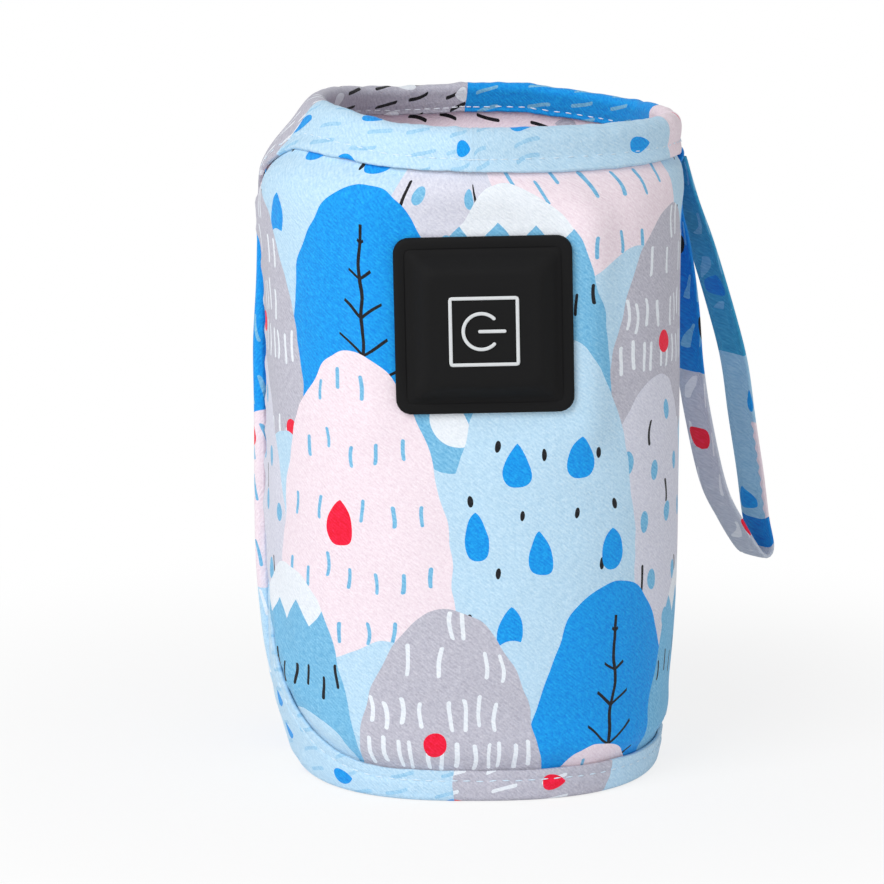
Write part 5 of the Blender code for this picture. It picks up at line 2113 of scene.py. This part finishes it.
@dataclass
class HangingLoop:
    """Folded tape that hangs from a sewn tab under the mouth binding."""

    width: float = 0.009
    thickness: float = 0.0014
    yaw: float = math.radians(40.0)
    pivot: Triple = (0.045267, 0.02796, 0.135452)
    route: tuple[Pair, ...] = (
        (0.001, -0.0016), (0.0011, -0.0075), (0.0017, -0.0135), (0.0043, -0.0219), (0.0072, -0.0367),
        (0.0088, -0.05), (0.0117, -0.0636), (0.017, -0.0808), (0.023, -0.0907), (0.029, -0.0986),
        (0.0318, -0.1), (0.033, -0.0975), (0.0311, -0.09), (0.0291, -0.0792), (0.026, -0.0654),
        (0.0231, -0.0517), (0.0183, -0.0379), (0.0118, -0.0217), (0.0068, -0.0112), (0.0027, -0.0008),
    )
    route_steps: int = 12
    around: int = 40
    steps: int = 260
    roundness: Pair = (0.45, 0.6)
    edge_dent: Swell = Swell(0.00012, 0.0034, 0.0005)
    unevenness: Ripple = Ripple(0.0001, (120.0, 300.0), 3.0)
    sway: Ripple = Ripple(0.0005, (22.0, 0.0), 2.0, 1.0)
    tab_grid: tuple[int, int] = (40, 18)
    tab_thickness: float = 0.0007
    tab_reach: float = 0.0034
    tab_radius: float = 0.0015
    tab_hem: float = 0.001
    tab_dent: Swell = Swell(0.00025, 0.0034, 0.0006)
    tab_print: float = 0.02

    @cached_property
    def line(self) -> tuple[np.ndarray, np.ndarray]:
        """Smooth line through the route's points.

        Returns:
            The length walked along it at each step, and its points, out from the pivot and up.
        """
        points = [Vector(point) for point in self.route]
        padded = [2 * points[0] - points[1], *points, 2 * points[-1] - points[-2]]
        track = []
        for before, start, end, after in zip(padded, padded[1:], padded[2:], padded[3:]):
            for step in range(self.route_steps):
                t = step / self.route_steps
                bend = 2 * before - 5 * start + 4 * end - after
                twist = 3 * start - before - 3 * end + after
                track.append(0.5 * (2 * start + (end - before) * t + bend * t ** 2 + twist * t ** 3))
        track.append(points[-1])
        steps = [(after - before).length for before, after in zip(track, track[1:])]
        return np.concatenate(([0.0], np.cumsum(steps))), np.array([tuple(p) for p in track])

    @property
    def length(self) -> float:
        """Length of the loop's tape."""
        return float(self.line[0][-1])

    @property
    def frame(self) -> Matrix:
        """Frame of the loop: its x out from the sleeve, y across the tape, z up."""
        return Matrix.Translation(self.pivot) @ Matrix.Rotation(self.yaw, 4, "Z")

    def at(self, along: float) -> Vector:
        """Point of the tape's middle, out from the pivot and up."""
        walked, points = self.line
        return Vector((np.interp(along, walked, points[:, 0]), np.interp(along, walked, points[:, 1])))

    def surface(self, along: float, y: float, side: float) -> Vector:
        """Point on one of the tape's faces.

        Args:
            along: Length along the tape.
            y: Place across it.
            side: 1 for the face outside the loop and -1 for the one inside, or between.

        Returns:
            The point.
        """
        small = 0.0006
        ahead = self.at(min(along + small, self.length)) - self.at(max(along - small, 0.0))
        out = Vector((-ahead.y, ahead.x)).normalized()
        half = self.thickness / 2 - self.edge_dent.at(abs(y)) + self.unevenness.at(along, y)
        spot = self.at(along) + out * half * side
        return self.frame @ Vector((spot.x, y + self.sway.at(along), spot.y))

    def place(self, share: float, up: float) -> Vector:
        """Point of the loop's skin.

        Args:
            share: Share of the way round the tape.
            up: Share of its length.

        Returns:
            The point.
        """
        angle = math.tau * share
        y = self.width / 2 * signed_power(math.cos(angle), self.roundness[0])
        side = signed_power(math.sin(angle), self.roundness[1])
        return self.surface(up * self.length, y, side)

    def build(self) -> None:
        """Make the loop and the tab that it hangs from."""
        shape = laid_cloth(
            self.around, self.steps, self.place,
            lambda share, up: (up * self.length, share * 2.0 * (self.width + self.thickness)),
        )
        rim = [edge for edge in shape.edges if edge.is_boundary]
        bmesh.ops.holes_fill(shape, edges=rim, sides=0)
        bmesh.ops.recalc_face_normals(shape, faces=shape.faces)
        loop = make_piece("loop_tape", shape, LOOP_TAPE, "strap", ["hanging_strap"], Body.LOOP)
        self.width + self.thickness
        self.length
        self.build_tab()

    def build_tab(self) -> None:
        """Fold a short tape round the loop's bar and lay its ends on the cover."""
        leg = self.tab_reach
        bend = math.pi * self.tab_radius
        total = 2.0 * leg + bend

        def place(share: float, up: float) -> Vector:
            """Point of the tab's face.

            Args:
                share: Share of its length, from its lower end round the fold to its upper end.
                up: Share of its width.

            Returns:
                The point.
            """
            walk = share * total
            turn = clamp((walk - leg) / bend) * math.pi
            back = max(leg - walk, walk - leg - bend, 0.0)
            y = (up - 0.5) * self.width
            spread = self.tab_radius - self.tab_dent.at(abs(y))
            return self.frame @ Vector((spread * math.sin(turn) - back, y, -spread * math.cos(turn)))

        shape = laid_cloth(
            *self.tab_grid, place, lambda share, up: (share * total + self.tab_print, up * self.width),
        )
        tab = make_piece(
            "loop_tab", shape, LOOP_TAPE, "strap", ["strap_anchor"], thickness=self.tab_thickness,
        )
        flat = (self.width + 2.0 * self.tab_hem, total)


@dataclass
class Electrics:
    """Finishes of the CAD pieces that keep their shape, and the cord's grommet."""

    grommet_z: float = 0.0125
    grommet_steps: int = 48
    grommet_round: float = 0.00018
    profile: tuple[Pair, ...] = (
        (0.001, 0.0015), (0.0029, 0.0015), (0.0035, 0.001), (0.0035, 0.0003), (0.0022, 0.0003),
        (0.0022, -0.0026), (0.001, -0.0026),
    )

    def build(self) -> None:
        """Dress the CAD nodes and turn the grommet."""
        for name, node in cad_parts.items():
            finish = next((f for key, f in NODE_FINISHES.items() if name.startswith(key)), None)
            if finish and not node.hide_render:
                node.data.materials.clear()
                node.data.materials.append(finish.material())
                log.info("%s keeps its solid, %s", name, finish.name)
        shape = bmesh.new()
        points = [shape.verts.new((radius, y, 0.0)) for radius, y in self.profile]
        edges = [shape.edges.new((points[at - 1], points[at])) for at in range(len(points))]
        bmesh.ops.spin(
            shape, geom=points + edges, axis=(0.0, 1.0, 0.0), cent=(0.0, 0.0, 0.0),
            angle=math.tau, steps=self.grommet_steps, use_merge=True,
        )
        bmesh.ops.recalc_face_normals(shape, faces=shape.faces)
        round_edges(shape, over=35.0, offset=self.grommet_round)
        place = Matrix.Translation((0.0, OUTLINE.depth_half(self.grommet_z), self.grommet_z))
        bmesh.ops.transform(shape, matrix=place, verts=shape.verts)
        make_piece("cord_grommet", shape, BLACK_PLASTIC, "grommet_rubber", ["lead_grommet"], sharp=40.0)


@dataclass(frozen=True)
class Lamp:
    """Soft lamp: its name, where it hangs, the width of its panel and its power in watts."""

    name: str
    place: Triple
    size: float
    power: float

    def hang(self) -> None:
        """Hang the lamp so that it faces the sleeve."""
        lamp = bpy.data.lights.new(self.name, "AREA")
        lamp.size = self.size
        lamp.energy = self.power
        hung = add_object(self.name, lamp)
        hung.location = self.place
        aim = Vector((0.0, 0.0, OUTLINE.height / 2)) - Vector(self.place)
        hung.rotation_euler = aim.to_track_quat("-Z", "Y").to_euler()


@dataclass
class Studio:
    """White table, soft light and the photograph's camera."""

    camera_place: Triple = (-0.0064, -0.965, 0.27)
    camera_pitch: float = math.radians(11.56)
    focal_pixels: float = 4306.0
    image: float = 884.0
    sensor: float = 36.0
    floor_half: float = 6.0
    shadow_reach: Pair = (0.07, 0.22)
    shadow_fade: float = 0.79
    table: Rgba = (0.93, 0.93, 0.93, 1.0)
    table_roughness: float = 0.9
    sky: float = 0.45
    sky_colour: Rgba = (1.0, 1.0, 1.0, 1.0)
    lamps: tuple[Lamp, ...] = (
        Lamp("key", (-0.75, -0.95, 0.95), 0.9, 13.5), Lamp("fill", (0.9, -0.9, 0.45), 0.9, 2.0),
    )

    def build(self) -> None:
        """Set the table, the lamps, the world and the camera."""
        scene = bpy.context.scene
        scene.view_settings.view_transform = "Standard"
        self.build_floor()
        self.build_world()
        for lamp in self.lamps:
            lamp.hang()
        lens = bpy.data.cameras.new("camera")
        lens.sensor_width = self.sensor
        lens.lens = self.focal_pixels / self.image * self.sensor
        camera = add_object("camera", lens)
        camera.location = self.camera_place
        camera.rotation_euler = (math.pi / 2 - self.camera_pitch, 0.0, 0.0)
        scene.camera = camera

    def build_floor(self) -> None:
        """Lay the pale table top."""
        shape = bmesh.new()
        bmesh.ops.create_grid(shape, x_segments=1, y_segments=1, size=self.floor_half)
        mesh = bpy.data.meshes.new("table")
        shape.to_mesh(mesh)
        shape.free()
        finish = bpy.data.materials.new("white_table")
        graph = Graph(finish)
        graph.set(Base_Color=self.table, Roughness=self.table_roughness, Specular_IOR_Level=0.0)
        spot = graph.node("ShaderNodeTexCoord", output="Object")
        far = graph.node("ShaderNodeVectorMath", {"operation": "LENGTH"}, {0: spot}, "Value")
        away = graph.node("ShaderNodeMapRange", {"interpolation_type": "SMOOTHSTEP"}, {
            "Value": far, "From Min": self.shadow_reach[0], "From Max": self.shadow_reach[1],
            "To Min": self.shadow_fade,
        })
        white = graph.node("ShaderNodeEmission")
        shader = Socket(graph, graph.shader.outputs[0])
        seen = graph.background_rays() & away
        mixed = graph.node("ShaderNodeMixShader", sockets={0: seen, 1: shader, 2: white})
        graph.feed(graph.tree.nodes["Material Output"].inputs["Surface"], mixed)
        mesh.materials.append(finish)
        add_object("table", mesh)

    def build_world(self) -> None:
        """Light the room evenly, and show it white to the camera and in reflections."""
        world = bpy.data.worlds.new("studio")
        graph = Graph(world)
        graph.set(Color=self.sky_colour, Strength=graph.background_rays() * (1.0 - self.sky) + self.sky)
        bpy.context.scene.world = world


def main() -> None:
    """Build the studio and every piece."""
    logging.basicConfig(level=logging.INFO, format="%(message)s")
    Studio().build()
    for part in (
        Padding, Cover, Lining, MouthTape, BaseTape, SideTape, Base, ButtonPad, HangingLoop, Electrics,
    ):
        part().build()


if __name__ == "__main__":
    main()
